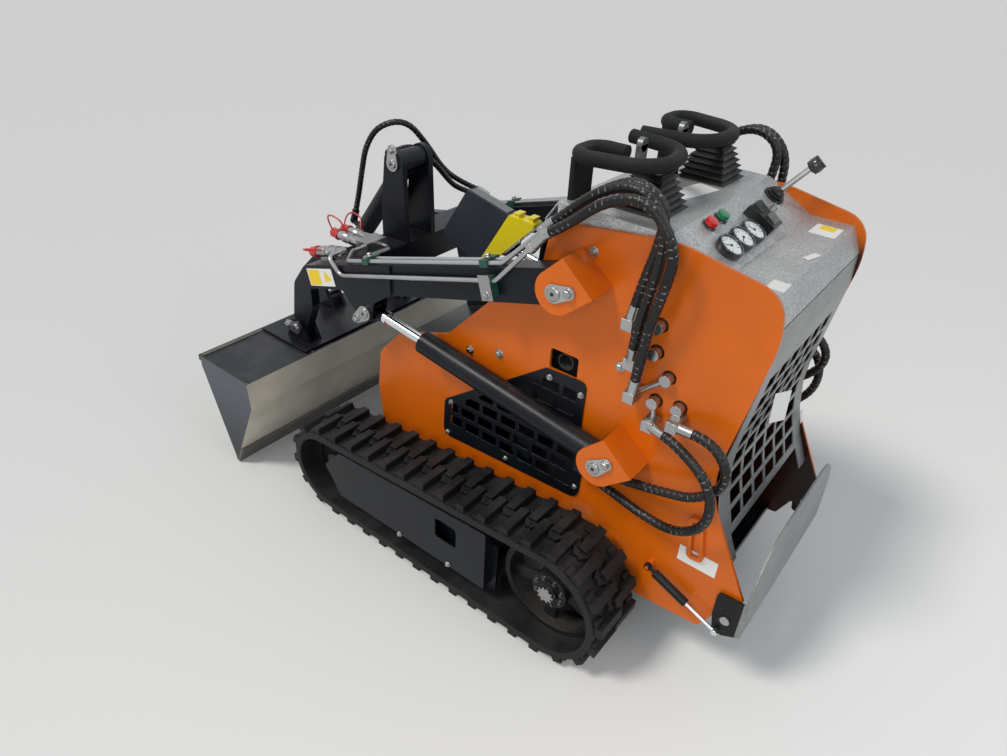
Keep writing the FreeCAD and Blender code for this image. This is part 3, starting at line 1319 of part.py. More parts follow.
export("coupler", coupler())
export("coupler_pins", *coupler_pins())
export("bucket", bucket())
export("cutting_edge", cutting_edge())


# Platform, folded up

def platform():
    low, top = PLATFORM_LOW, PLATFORM_TOP
    height = math.hypot(top[0] - low[0], top[1] - low[1])
    sheet = Part.makeBox(PLATFORM_T, 2 * PLATFORM_HALF, height, vec(-PLATFORM_T, -PLATFORM_HALF, 0))
    corners = [e for e in sheet.Edges if e.Length < PLATFORM_T + 0.1 and e.CenterOfMass.z > height - 1]
    sheet = sheet.makeFillet(PLATFORM_CORNER_R, corners)
    lean = math.degrees(math.atan2(top[0] - low[0], top[1] - low[1]))
    sheet.rotate(vec(0, 0, 0), vec(0, 1, 0), lean)
    sheet.translate(vec(low[0], 0, low[1]))
    ear_t = PLATFORM_T
    rows = [
        (low[0], low[1], 0.0),
        (low[0], low[1] + 112.0, 0.0),
        (PLATFORM_PIVOT[0] + 34.0, low[1] + 108.0, 12.0),
        (PLATFORM_PIVOT[0] + 34.0, PLATFORM_PIVOT[1], 20.0),
        (STRUT_EYE[0] + 12.0, STRUT_EYE[1] - 12.0, 10.0),
        (STRUT_EYE[0] - 14.0, STRUT_EYE[1] - 14.0, 10.0),
    ]
    parts = []
    cuts = []
    for y0 in (PLATFORM_HALF - ear_t, -PLATFORM_HALF):
        parts.append(plate(rows, y0, y0 + ear_t))
        cuts.append(pin_y(PLATFORM_PIVOT, PLATFORM_PIN_R + PIN_FIT, y0 - 1, y0 + ear_t + 1))
    stud = pin_y(STRUT_EYE, STUD_R, PLATFORM_HALF - 1, STRUT_Y - STRUT_EYE_T / 2 - FACE_GAP)
    return sheet.multiFuse(parts + [stud, mirrored(stud)]).cut(cuts)


def platform_bolt():
    shaft = pin_y(PLATFORM_PIVOT, PLATFORM_PIN_R, INNER_HALF, PLATFORM_HALF)
    return shaft.fuse(pin_y(PLATFORM_PIVOT, 12.0, PLATFORM_HALF + FACE_GAP, PLATFORM_HALF + 6)).fuse(
        pin_y(PLATFORM_PIVOT, PLATFORM_PIN_R, PLATFORM_HALF - 1, PLATFORM_HALF + 3))


def strut_tube():
    """Gas strut's tube with the eye that sits on the side plate's stud."""
    start, end = STRUT_TUBE
    half = STRUT_EYE_T / 2
    eye = pin_y(STRUT_STUD, STRUT_BASE_R, STRUT_Y - half, STRUT_Y + half)
    neck = round_between(STRUT_STUD, STRUT_EYE, STRUT_Y, half, start + 2, STRUT_ROD_R)
    tube = round_between(STRUT_STUD, STRUT_EYE, STRUT_Y, start, end, STRUT_TUBE_R)
    bore = round_between(STRUT_STUD, STRUT_EYE, STRUT_Y, start + 8, end + 1, STRUT_ROD_R + PIN_FIT)
    whole = eye.fuse([neck, tube]).cut(bore)
    return whole.cut(pin_y(STRUT_STUD, STUD_R + PIN_FIT, STRUT_Y - half - 2, STRUT_Y + half + 2))


def strut_rod():
    length = pin_distance(STRUT_STUD, STRUT_EYE)
    end = length - STRUT_TIP_R / 2
    rod = round_between(STRUT_STUD, STRUT_EYE, STRUT_Y, STRUT_ROD_FROM, end, STRUT_ROD_R)
    eye = pin_y(STRUT_EYE, STRUT_TIP_R, STRUT_Y - STRUT_EYE_T / 2, STRUT_Y + STRUT_EYE_T / 2)
    return rod.fuse(eye)


export("platform", platform())
export("platform_bolts", platform_bolt(), mirrored(platform_bolt()))
export_pair("strut_tube", strut_tube())
export_pair("strut_rod", strut_rod())


# Hoses and the fittings at the side plates' ports

PORT_BAR_Y = BODY_HALF + 13.0
PORT_BAR_R = 6.0
KNUCKLE_R = 13.2        # half the side of the elbow block at the end of a port's pipe


def port_fitting(port, end):
    """Nut on a port with its straight pipe, both clear of the side plate."""
    nut = pin_y(port, HEX_R, INNER_HALF, PORT_BAR_Y + PORT_BAR_R + 3.0)
    pipe = bar((port[0], PORT_BAR_Y, port[1]), (end[0], PORT_BAR_Y, end[1]), PORT_BAR_R)
    return nut.fuse(pipe)


def elbow_fitting(port, route, last):
    """Port fitting, its elbow block, and the straight ferrule of one hose."""
    shank, root = skirt(route, FERRULE_R, last, PORT_FERRULE_L)
    block = box(root.x - KNUCKLE_R, root.x + KNUCKLE_R, PORT_BAR_Y - PORT_BAR_R, root.y + KNUCKLE_R,
                root.z - KNUCKLE_R, root.z + KNUCKLE_R)
    return port_fitting(port, (root.x, root.z)).fuse([block, shank])


def port_fittings():
    out = []
    for (_, port), route in zip(HOSE_LOW, ARM_HOSES):
        out.append(elbow_fitting(port, route, True))
    for (_, port), route in zip(LOOP_STARTS, LIFT_HOSES):
        out.append(elbow_fitting(port, route, False))
    return out


left_hoses = [swept(route, HOSE_R) for route in ARM_HOSES]
lift_hoses = [swept(route, HOSE_R) for route in LIFT_HOSES]
export("arm_hoses", *left_hoses, *[mirrored(one) for one in left_hoses[1:]])
export_both("lift_hoses", *lift_hoses)
export("tilt_hoses", *[swept(route, TILT_HOSE_R) for route in TILT_HOSES])
export("port_fittings", *port_fittings(), *[mirrored(one) for one in port_fittings()[1:]])


# Tool case over the front cover, on a bracket of two flat bars

CASE_Y0 = -20.0
CASE_Y1 = 20.0
CASE_TUB = [(288.0, 840.0, 8.0), (193.0, 992.0, 8.0), (43.0, 958.0, 2.0), (150.0, 780.0, 2.0)]
CASE_LID = [CASE_TUB[2], (-54.0, 955.0, 8.0), (74.0, 826.0, 8.0), CASE_TUB[3]]
CASE_LEG_Y = 8.0        # bracket's bars, in from the case's sides
CASE_LEG_T = 6.0
CASE_LEG_AT = (170.0, 240.0)
CASE_LEG_LEAN = 50.0    # a bar's foot lies this far behind its top


def cover_height(x):
    """Height of the front cover's outline at a place ahead of its bend."""
    a, b = FRONT_COVER_LINE[3], FRONT_COVER_LINE[4]
    return a[1] + (b[1] - a[1]) * (x - a[0]) / (b[0] - a[0])


def case_bracket():
    (ax, az), (dx, dz) = CASE_TUB[0][:2], CASE_TUB[3][:2]
    lower = [x - CASE_LEG_LEAN for x in CASE_LEG_AT]
    upper = [(x, dz + (az - dz) * (x - dx) / (ax - dx)) for x in CASE_LEG_AT]
    rows = [(lower[0], cover_height(lower[0]), 0), (lower[1], cover_height(lower[1]), 0)]
    rows += [(upper[1][0], upper[1][1], 0), (upper[0][0], upper[0][1], 0)]
    out = []
    for y in (CASE_Y0 + CASE_LEG_Y, CASE_Y1 - CASE_LEG_Y - CASE_LEG_T):
        out.append(plate(rows, y, y + CASE_LEG_T))
    return out


export("tool_case", plate(CASE_TUB, CASE_Y0, CASE_Y1))
export("case_lid", plate(CASE_LID, CASE_Y0, CASE_Y1))
export("case_bracket", *case_bracket())
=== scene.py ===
# %% [markdown]
# # A compact tracked skid steer loader
# The metal of this machine is already settled: every plate, pin, cylinder and track is a solid that
# came from the construction model. This notebook dresses that frame. It gives each part its finish,
# and it adds the small things that a solid model leaves out, such as bolts, gauges and labels.

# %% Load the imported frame
import json
import math

import bmesh
import bpy
from mathutils import Matrix, Vector


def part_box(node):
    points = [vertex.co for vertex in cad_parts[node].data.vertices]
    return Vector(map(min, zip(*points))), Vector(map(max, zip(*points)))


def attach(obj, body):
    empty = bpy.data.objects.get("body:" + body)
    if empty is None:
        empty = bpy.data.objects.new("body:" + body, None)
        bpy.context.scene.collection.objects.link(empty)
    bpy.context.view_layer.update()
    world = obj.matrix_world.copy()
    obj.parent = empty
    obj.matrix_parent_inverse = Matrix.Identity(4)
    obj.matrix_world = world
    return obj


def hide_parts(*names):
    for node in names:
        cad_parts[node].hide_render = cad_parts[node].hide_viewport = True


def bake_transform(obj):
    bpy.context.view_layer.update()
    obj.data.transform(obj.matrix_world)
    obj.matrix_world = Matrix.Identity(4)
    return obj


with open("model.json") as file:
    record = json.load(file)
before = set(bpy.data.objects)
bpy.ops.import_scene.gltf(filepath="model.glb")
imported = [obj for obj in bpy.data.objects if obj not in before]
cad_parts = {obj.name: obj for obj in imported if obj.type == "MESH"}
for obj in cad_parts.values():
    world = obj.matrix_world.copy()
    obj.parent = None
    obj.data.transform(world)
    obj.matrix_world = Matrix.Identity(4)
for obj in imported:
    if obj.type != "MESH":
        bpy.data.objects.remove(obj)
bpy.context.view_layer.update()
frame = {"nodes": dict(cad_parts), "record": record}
nodes = frame["nodes"]

# %% [markdown]
# ## Where the photographer stood
# The picture was taken from the left rear of the machine, at about head height. A camera can be
# aimed with constraints or with angles. Here its three axes are written out, because they were
# worked out from lines in the picture that are parallel on the real machine.

# %% The camera
camera_data = bpy.data.cameras.new("photo_camera")
camera_data.sensor_width = 36.0
camera_data.lens = 25.83
camera_data.clip_end = 200.0
camera = bpy.data.objects.new("photo_camera", camera_data)
right = Vector((-0.7830, -0.6203, 0.0448))
down = Vector((-0.3707, 0.4078, -0.8344))
ahead = Vector((0.4994, -0.6700, -0.5493))
axes = Matrix((right, -down, -ahead)).transposed().to_4x4()
camera.matrix_world = Matrix.Translation((-1.095, 1.530, 1.670)) @ axes
bpy.context.scene.collection.objects.link(camera)
bpy.context.scene.camera = camera
print("camera", round(math.degrees(camera_data.angle), 1), "degrees wide")

# %% [markdown]
# ## The floor
# A wide pale floor catches the shadow that makes the machine look heavy. It could be a curved sheet
# that rises behind the machine, but a level plane is enough here, because the camera looks down.
# It belongs to the stage, not to the machine.

# %% A pale floor
def new_material(name):
    """An empty material with its node tree and its shader."""
    made = bpy.data.materials.new(name)
    made.use_nodes = True
    return made, made.node_tree, made.node_tree.nodes["Principled BSDF"]


bpy.ops.mesh.primitive_plane_add(size=80.0, location=(0.0, 0.0, -0.001))
floor = bpy.context.object
floor.name = "floor"
floor_material, _, floor_shader = new_material("pale_floor")
floor_shader.inputs["Base Color"].default_value = (0.80, 0.80, 0.79, 1.0)
floor_shader.inputs["Roughness"].default_value = 0.9
floor_shader.inputs["Specular IOR Level"].default_value = 0.1
floor.data.materials.append(floor_material)
print("floor", [round(v, 1) for v in floor.dimensions])

# %% [markdown]
# ## The world
# The world fills the shadows. An image of a sky could do that, but an even tone keeps the paint's own
# colours. It is brighter where the camera, a gleam or clear plastic looks at it, so that bare steel
# has something pale to mirror while the shadows stay deep.

# %% Two even tones
world = bpy.data.worlds.new("studio")
bpy.context.scene.world = world
world.use_nodes = True
world_tree = world.node_tree
even = world_tree.nodes["Background"]
even.inputs["Color"].default_value = (0.88, 0.94, 1.0, 1.0)
even.inputs["Strength"].default_value = 0.40
seen = world_tree.nodes.new("ShaderNodeBackground")
seen.inputs["Color"].default_value = (0.90, 0.93, 0.97, 1.0)
seen.inputs["Strength"].default_value = 0.82
light_path = world_tree.nodes.new("ShaderNodeLightPath")
looked_at = light_path.outputs["Is Camera Ray"]
for ray in ("Is Transmission Ray", "Is Glossy Ray"):
    larger = world_tree.nodes.new("ShaderNodeMath")
    larger.operation = "MAXIMUM"
    world_tree.links.new(looked_at, larger.inputs[0])
    world_tree.links.new(light_path.outputs[ray], larger.inputs[1])
    looked_at = larger.outputs[0]
choose = world_tree.nodes.new("ShaderNodeMixShader")
world_tree.links.new(looked_at, choose.inputs[0])
world_tree.links.new(even.outputs[0], choose.inputs[1])
world_tree.links.new(seen.outputs[0], choose.inputs[2])
world_tree.links.new(choose.outputs[0], world_tree.nodes["World Output"].inputs["Surface"])
print("world nodes", len(world_tree.nodes))

# %% [markdown]
# ## Sun and lamps
# A sun with a wide disc lights the floor evenly out to its edges and still throws a soft shadow; a
# lamp near the machine would leave a bright pool. Two weak round lamps add a gleam to the side and
# the rear, which are the faces that the picture shows.

# %% Sun, side lamp and rear lamp
def lamp(name, place, target, watts, colour=(1.0, 1.0, 1.0)):
    data = bpy.data.lights.new(name, "AREA")
    data.shape = "DISK"
    data.size = 1.6
    data.energy = watts
    data.color = colour
    one = bpy.data.objects.new(name, data)
    one.location = place
    one.rotation_mode = "QUATERNION"
    one.rotation_quaternion = (Vector(target) - Vector(place)).to_track_quat("-Z", "Y")
    bpy.context.scene.collection.objects.link(one)


sun_data = bpy.data.lights.new("sun", "SUN")
sun_data.energy = 1.6
sun_data.angle = math.radians(14.0)
sun_data.color = (1.0, 0.96, 0.90)
sun = bpy.data.objects.new("sun", sun_data)
sun.rotation_mode = "QUATERNION"
sun.rotation_quaternion = Vector((-0.40, -0.62, -1.0)).to_track_quat("-Z", "Y")
bpy.context.scene.collection.objects.link(sun)
lamp("side_lamp", (-1.6, 3.4, 2.2), (-0.1, 0.2, 0.6), 26.0)
lamp("rear_lamp", (-3.0, 0.2, 2.4), (-0.6, 0.0, 0.8), 16.0, (0.95, 0.97, 1.0))
bpy.context.scene.view_settings.view_transform = "Standard"

# %% [markdown]
# ## Tools for materials
# A material in Blender is a small tree of nodes. It can be drawn by hand in the editor, but a few
# short functions make the same nodes and read like a recipe: a sum, a noise, a soft step between two
# values, and one colour laid over another by a mask.

# %% Nodes, sums and tints
def add(tree, kind, **settings):
    node = tree.nodes.new(kind)
    for key, value in settings.items():
        setattr(node, key, value)
    return node


def plug(tree, source, target):
    """Joins an output socket to an input, or sets the input if the source is a plain value."""
    if isinstance(source, bpy.types.NodeSocket):
        tree.links.new(source, target)
    else:
        target.default_value = source


def calc(tree, operation, a, b=0.0, clamp=False):
    node = add(tree, "ShaderNodeMath", operation=operation, use_clamp=clamp)
    plug(tree, a, node.inputs[0])
    plug(tree, b, node.inputs[1])
    return node.outputs[0]


def noise(tree, place, scale, detail=4.0, roughness=0.55):
    node = add(tree, "ShaderNodeTexNoise")
    plug(tree, place, node.inputs["Vector"])
    plug(tree, scale, node.inputs["Scale"])
    node.inputs["Detail"].default_value = detail
    node.inputs["Roughness"].default_value = roughness
    return node.outputs["Fac"]


def ramp(tree, value, low, high):
    node = add(tree, "ShaderNodeMapRange", interpolation_type="SMOOTHSTEP")
    plug(tree, value, node.inputs["Value"])
    plug(tree, low, node.inputs["From Min"])
    plug(tree, high, node.inputs["From Max"])
    return node.outputs["Result"]


def tint(tree, mask, under, over):
    node = add(tree, "ShaderNodeMix", data_type="RGBA")
    plug(tree, mask, node.inputs[0])
    plug(tree, under, node.inputs[6])
    plug(tree, over, node.inputs[7])
    return node.outputs[2]


print("node helpers ready")

# %% [markdown]
# ## Shared effects
# The effects that many finishes share, such as dust that settles on level faces or paint that has
# rubbed off an edge, are built once as node groups. Each group has named sockets, so that every
# material can give it values of its own, and a mend in the group reaches them all.

# %% Node groups
def group(name, inputs, outputs):
    tree = bpy.data.node_groups.new(name, "ShaderNodeTree")
    for title, kind, value in inputs:
        socket = tree.interface.new_socket(title, in_out="INPUT", socket_type=kind)
        socket.default_value = value
    for title, kind in outputs:
        tree.interface.new_socket(title, in_out="OUTPUT", socket_type=kind)
    return tree, tree.nodes.new("NodeGroupInput"), tree.nodes.new("NodeGroupOutput")


def use(tree, made, **values):
    node = add(tree, "ShaderNodeGroup", node_tree=made)
    for key, value in values.items():
        plug(tree, value, node.inputs[key])
    return node.outputs


FLOAT, VECTOR = "NodeSocketFloat", "NodeSocketVector"
print("group helpers ready")

# %% [markdown]
# ## Dust
# Dust lies where a face looks up, in clouds rather than evenly. It could be painted on by hand, but a
# rule fits every part at once: the upward share of the normal times a soft noise, with finer specks
# on top. A second value lets a little of it cling to faces that stand upright.

# %% Settled dust
CLOUD_RANGE, CLOUD_SHARE = (0.36, 0.68), 0.6
SPECK_RANGE, SPECK_SHARE = (0.40, 0.66), 0.25
dust_tree, g_in, g_out = group(
    "settled_dust",
    [("Amount", FLOAT, 0.5), ("Scale", FLOAT, 9.0), ("Everywhere", FLOAT, 0.1)],
    [("Mask", FLOAT)],
)
surface = add(dust_tree, "ShaderNodeTexCoord")
place = surface.outputs["Object"]
upward = add(dust_tree, "ShaderNodeSeparateXYZ")
dust_tree.links.new(surface.outputs["Normal"], upward.inputs[0])
lying = ramp(dust_tree, upward.outputs["Z"], 0.15, 0.95)
lying = calc(dust_tree, "MAXIMUM", lying, g_in.outputs["Everywhere"])
clouds = ramp(dust_tree, noise(dust_tree, place, g_in.outputs["Scale"], 6.0, 0.6), *CLOUD_RANGE)
specks = ramp(dust_tree, noise(dust_tree, place, 240.0, 2.0, 0.6), *SPECK_RANGE)
clouds = calc(dust_tree, "MULTIPLY", clouds, CLOUD_SHARE)
specks = calc(dust_tree, "MULTIPLY", specks, SPECK_SHARE)
both = calc(dust_tree, "MULTIPLY", calc(dust_tree, "ADD", clouds, specks), lying)
mask = calc(dust_tree, "MULTIPLY", both, g_in.outputs["Amount"], True)
dust_tree.links.new(mask, g_out.inputs["Mask"])
print("dust group with", len(dust_tree.nodes), "nodes")

# %% [markdown]
# ## Worn edges
# Paint rubs off where a sheet ends or folds. Where the true normal and a rounded normal differ there
# is an edge, so the difference is the mask, and a noise breaks it into chips. The same rounded normal
# also softens the sharp corners of the solids, which costs less than real bevels on every part.

# %% Rubbed and rounded edges
edge_tree, g_in, g_out = group(
    "worn_edges",
    [("Radius", FLOAT, 0.002), ("Amount", FLOAT, 0.5)],
    [("Mask", FLOAT), ("Normal", VECTOR)],
)
rounded = add(edge_tree, "ShaderNodeBevel", samples=4)
edge_tree.links.new(g_in.outputs["Radius"], rounded.inputs["Radius"])
flat = add(edge_tree, "ShaderNodeNewGeometry")
likeness = add(edge_tree, "ShaderNodeVectorMath", operation="DOT_PRODUCT")
edge_tree.links.new(rounded.outputs[0], likeness.inputs[0])
edge_tree.links.new(flat.outputs["Normal"], likeness.inputs[1])
bent = ramp(edge_tree, calc(edge_tree, "SUBTRACT", 1.0, likeness.outputs["Value"]), 0.02, 0.22)
place = add(edge_tree, "ShaderNodeTexCoord").outputs["Object"]
broken = ramp(edge_tree, noise(edge_tree, place, 55.0, 5.0, 0.65), 0.42, 0.60)
worn = calc(edge_tree, "MULTIPLY", calc(edge_tree, "MULTIPLY", bent, broken), g_in.outputs["Amount"], True)
edge_tree.links.new(worn, g_out.inputs["Mask"])
edge_tree.links.new(rounded.outputs[0], g_out.inputs["Normal"])
print("shared effects:", [g.name for g in bpy.data.node_groups])

# %% [markdown]
# ## Paints and metals
# All the painted steel here behaves alike: a colour under a gloss that dust dulls, and bare or
# primed metal where an edge has rubbed. One function builds that tree, and a short table gives
# each paint its own numbers. A fine bump keeps a broad sheet from looking like plastic.

# %% One recipe for painted and plated steel
def opaque(colour):
    return tuple(colour) + (1.0,)


def shaded(colour, share):
    return tuple(min(1.0, c * share) for c in colour) + (1.0,)


def finish_of(name, colour, rough, metal=0.0, coat=0.0, dust=0.4, dust_colour=(0.42, 0.38, 0.33),
              everywhere=0.12, wear=0.4, wear_colour=(0.30, 0.29, 0.28), wear_metal=0.7,
              bevel=0.0016, ripple=0.02, ripple_scale=60.0, mottle=0.12, gloss=0.4, grain=0.0):
    """Paint or plating with a mottled colour, worn edges, settled dust and a fine ripple."""
    made, tree, shader = new_material(name)
    place = add(tree, "ShaderNodeTexCoord").outputs["Object"]
    shade = noise(tree, place, 5.0, 5.0, 0.6)
    base = tint(tree, ramp(tree, shade, 0.35, 0.65), shaded(colour, 1 - mottle), shaded(colour, 1 + mottle))
    if grain > 0:
        speckle = ramp(tree, noise(tree, place, ripple_scale, 2.0, 0.7), 0.30, 0.70)
        base = tint(tree, calc(tree, "MULTIPLY", speckle, grain), base, shaded(colour, (1 - grain) * 0.8))
    edges = use(tree, edge_tree, Radius=bevel, Amount=wear)
    base = tint(tree, edges["Mask"], base, opaque(wear_colour))
    dirt = use(tree, dust_tree, Amount=dust, Everywhere=everywhere)["Mask"]
    base = tint(tree, dirt, base, opaque(dust_colour))
    tree.links.new(base, shader.inputs["Base Color"])
    smooth = calc(tree, "MULTIPLY_ADD", shade, 0.16)
    smooth.node.inputs[2].default_value = rough - 0.08
    dull = calc(tree, "MULTIPLY", dirt, 0.55)
    tree.links.new(calc(tree, "ADD", smooth, dull, True), shader.inputs["Roughness"])
    if wear_metal != metal:
        gleam = calc(tree, "MULTIPLY", edges["Mask"], wear_metal - metal)
        tree.links.new(calc(tree, "ADD", gleam, metal, True), shader.inputs["Metallic"])
    else:
        shader.inputs["Metallic"].default_value = metal
    if coat > 0:
        clear = calc(tree, "SUBTRACT", 1.0, dirt, True)
        tree.links.new(calc(tree, "MULTIPLY", clear, coat), shader.inputs["Coat Weight"])
        shader.inputs["Coat Roughness"].default_value = 0.12
    shader.inputs["Specular IOR Level"].default_value = gloss
    bump = add(tree, "ShaderNodeBump")
    bump.inputs["Strength"].default_value = ripple
    bump.inputs["Distance"].default_value = 0.002
    tree.links.new(noise(tree, place, ripple_scale, 3.0, 0.6), bump.inputs["Height"])
    tree.links.new(edges["Normal"], bump.inputs["Normal"])
    tree.links.new(bump.outputs[0], shader.inputs["Normal"])
    return made


print("paint recipe ready")

# %% [markdown]
# ## The paint shop
# Each row is one finish as a paint shop would describe it: colour, roughness, how metallic it is, and
# how much dust and wear it carries. Orange and chrome are used twice, once plain and once with a
# dark part laid over, so their numbers have names.

# %% A table of paints
ORANGE = {"colour": (0.62, 0.118, 0.0006), "rough": 0.34, "coat": 0.15, "dust": 0.06, "gloss": 0.3,
          "wear": 0.25, "wear_colour": (0.30, 0.07, 0.02), "wear_metal": 0.0, "mottle": 0.05}
CHROME = {"colour": (0.80, 0.81, 0.83), "rough": 0.12, "metal": 1.0, "dust": 0.1, "wear": 0.0,
          "wear_metal": 1.0, "ripple": 0.0}
finishes = {
    "orange_paint": finish_of("orange_enamel", **ORANGE),
    "black_paint": finish_of("black_enamel", (0.0045, 0.0060, 0.0095), 0.32, dust=0.07, everywhere=0.05,
                             gloss=0.22, wear=0.30, mottle=0.2),
    "galvanised": finish_of("hammered_silver", (0.33, 0.34, 0.345), 0.40, metal=0.6, dust=0.22, wear=0.2,
                            wear_metal=0.6, ripple=0.55, ripple_scale=230.0, grain=0.55),
    "track_rubber": finish_of("track_rubber", (0.006, 0.0064, 0.0075), 0.58, dust=0.16, gloss=0.28,
                              dust_colour=(0.20, 0.19, 0.175), wear=0.25,
                              wear_colour=(0.045, 0.043, 0.042), wear_metal=0.0,
                              ripple=0.3, ripple_scale=180.0, mottle=0.3, bevel=0.003),
    "chrome": finish_of("chrome_rod", **CHROME),
    "zinc_plate": finish_of("zinc_plate", (0.43, 0.435, 0.44), 0.28, metal=0.95, dust=0.2, wear=0.2,
                            wear_metal=0.95, ripple=0.05, ripple_scale=200.0),
    "foam_grip": finish_of("foam_grip", (0.007, 0.0072, 0.0085), 0.72, dust=0.08, everywhere=0.1, gloss=0.25,
                           wear=0.0, wear_metal=0.0, ripple=0.5, ripple_scale=420.0, bevel=0.012),
    "boot_rubber": finish_of("boot_rubber", (0.006, 0.006, 0.007), 0.40, dust=0.08, wear=0.0, gloss=0.35,
                             wear_metal=0.0, ripple=0.05),
    "gauge_face": finish_of("gauge_bezel", (0.012, 0.013, 0.014), 0.25, dust=0.08, wear=0.1,
                            wear_metal=0.0),
    "motor_iron": finish_of("motor_iron", (0.016, 0.016, 0.018), 0.55, metal=0.3, dust=0.3,
                            wear=0.5, ripple=0.3, ripple_scale=90.0),
    "wheel_black": finish_of("wheel_black", (0.006, 0.0065, 0.008), 0.45, dust=0.14, gloss=0.25, wear=0.4),
}
print("painted finishes", len(finishes))

# %% [markdown]
# ## Plain finishes
# Rubber, plastic and paper need only a colour, a gloss and a little dust, so they share a shorter
# recipe. Labels stay blank: only their colours remain.

# %% Finishes for trim
def plain(name, colour, rough, metal=0.0, coat=0.0, dust=0.15, gloss=0.4):
    """Rubber, plastic, paper or bare metal in one colour with a little dust."""
    made, tree, shader = new_material(name)
    dirt = use(tree, dust_tree, Amount=dust, Everywhere=0.25)["Mask"]
    tree.links.new(tint(tree, dirt, opaque(colour), (0.36, 0.33, 0.29, 1.0)), shader.inputs["Base Color"])
    shader.inputs["Roughness"].default_value = rough
    shader.inputs["Metallic"].default_value = metal
    shader.inputs["Coat Weight"].default_value = coat
    shader.inputs["Specular IOR Level"].default_value = gloss
    soft = add(tree, "ShaderNodeBevel", samples=4)
    soft.inputs["Radius"].default_value = 0.0006
    tree.links.new(soft.outputs[0], shader.inputs["Normal"])
    return made


trim = {
    "hose": plain("hose_wrap", (0.005, 0.005, 0.006), 0.36, dust=0.14, gloss=0.3),
    "hose_edge": plain("wrap_painted_highlight", (0.17, 0.17, 0.165), 0.45, dust=0.1),
    "green": plain("clamp_plastic", (0.012, 0.075, 0.05), 0.45),
    "yellow": plain("case_yellow", (0.84, 0.68, 0.006), 0.35, coat=0.3, dust=0.05),
    "navy": plain("case_black", (0.012, 0.016, 0.028), 0.55, dust=0.12),
    "steel": plain("bolt_steel", (0.38, 0.385, 0.38), 0.30, metal=1.0, dust=0.25),
    "dark": plain("painted_bore_shade", (0.004, 0.004, 0.004), 0.8),
    "dial": plain("dial_face", (0.72, 0.76, 0.76), 0.25, coat=1.0, dust=0.1),
    "needle": plain("dial_marks", (0.02, 0.02, 0.02), 0.5, dust=0.0),
    "bezel": plain("gauge_bezel_black", (0.009, 0.010, 0.011), 0.22, coat=0.6),
    "red": plain("red_plastic", (0.55, 0.010, 0.010), 0.30, coat=0.4),
    "go": plain("green_button", (0.004, 0.18, 0.07), 0.28, coat=0.5),
    "white": plain("blank_label", (0.78, 0.78, 0.76), 0.5, dust=0.2),
    "amber": plain("blank_label_yellow", (0.85, 0.60, 0.02), 0.5, dust=0.1),
    "paddle": plain("paddle_metal", (0.20, 0.21, 0.21), 0.38, metal=0.7, dust=0.2),
}
for slot, name in (("hose_rubber", "hose"), ("clamp_green", "green"), ("case_yellow", "yellow"),
                   ("case_black", "navy")):
    finishes[slot] = trim[name]
print("trim finishes", list(trim))

# %% [markdown]
# ## Colours that follow the shape
# Some parts carry two colours: the plates' inner faces are darkened with painted shade, the bucket's bare back
# is pale with dirt and made paler by a painted light, its end plates carry a painted light towards the top,
# and a rod's end near its eye is dark. They could be cut into pieces, but a mask made from the place and the
# direction of each point does it with one mesh. Each mask below is named for what it picks out.

# %% Masks from place and direction
def seen_from(tree):
    """Normal and place in the object's own axes, taken apart."""
    source = add(tree, "ShaderNodeTexCoord")
    normal, spot = add(tree, "ShaderNodeSeparateXYZ"), add(tree, "ShaderNodeSeparateXYZ")
    tree.links.new(source.outputs["Normal"], normal.inputs[0])
    tree.links.new(source.outputs["Object"], spot.inputs[0])
    return normal.outputs, spot.outputs


def wash(made, mask_of, colour):
    """Lays one more colour over a finish where the mask says."""
    tree = made.node_tree
    base = tree.nodes["Principled BSDF"].inputs["Base Color"]
    under = base.links[0].from_socket
    normal, spot = seen_from(tree)
    tree.links.new(tint(tree, mask_of(tree, normal, spot), under, opaque(colour)), base)
    return made


def painted_shade_inside(tree, normal, spot):
    """Faces of the side plates that look inward, darkened as painted shade, fading out from 1.00 to 1.07 m up.
    """
    turned = calc(tree, "MULTIPLY", calc(tree, "MULTIPLY", normal["Y"], spot["Y"]), -1.0)
    below = ramp(tree, calc(tree, "MULTIPLY", spot["Z"], -1.0), -1.07, -1.0)
    return calc(tree, "MULTIPLY", ramp(tree, turned, 0.05, 0.15), below)


def rear_dust_and_painted_light(tree, normal, spot):
    """Faces of the bucket that look rearward, broken by a soft cloud: pale dust, made paler as a painted
    light.
    """
    place = add(tree, "ShaderNodeTexCoord").outputs["Object"]
    cloud = calc(tree, "MULTIPLY", ramp(tree, noise(tree, place, 7.0), 0.3, 0.7), 0.20)
    cloud = calc(tree, "ADD", cloud, 0.78)
    return calc(tree, "MULTIPLY", ramp(tree, calc(tree, "MULTIPLY", normal["X"], -1.0), 0.35, 0.7), cloud)


def end_plates_painted_light(tree, normal, spot):
    """End plates of the bucket, stronger towards the tray at 0.42 m: a painted light on their upper part."""
    facing = ramp(tree, calc(tree, "ABSOLUTE", normal["Y"]), 0.5, 0.8)
    return calc(tree, "MULTIPLY", facing, ramp(tree, spot["Z"], 0.0, 0.42))


def pivot_ear(tree, normal, spot):
    """The ears at the platform's pivot, which stand ahead of its sheet."""
    return ramp(tree, spot["X"], -0.8935, -0.8915)


def rod_eye(tree, normal, spot):
    """The end of a lift rod near its eye, laid dark."""
    return ramp(tree, spot["X"], 0.232, 0.234)


print("masks ready")
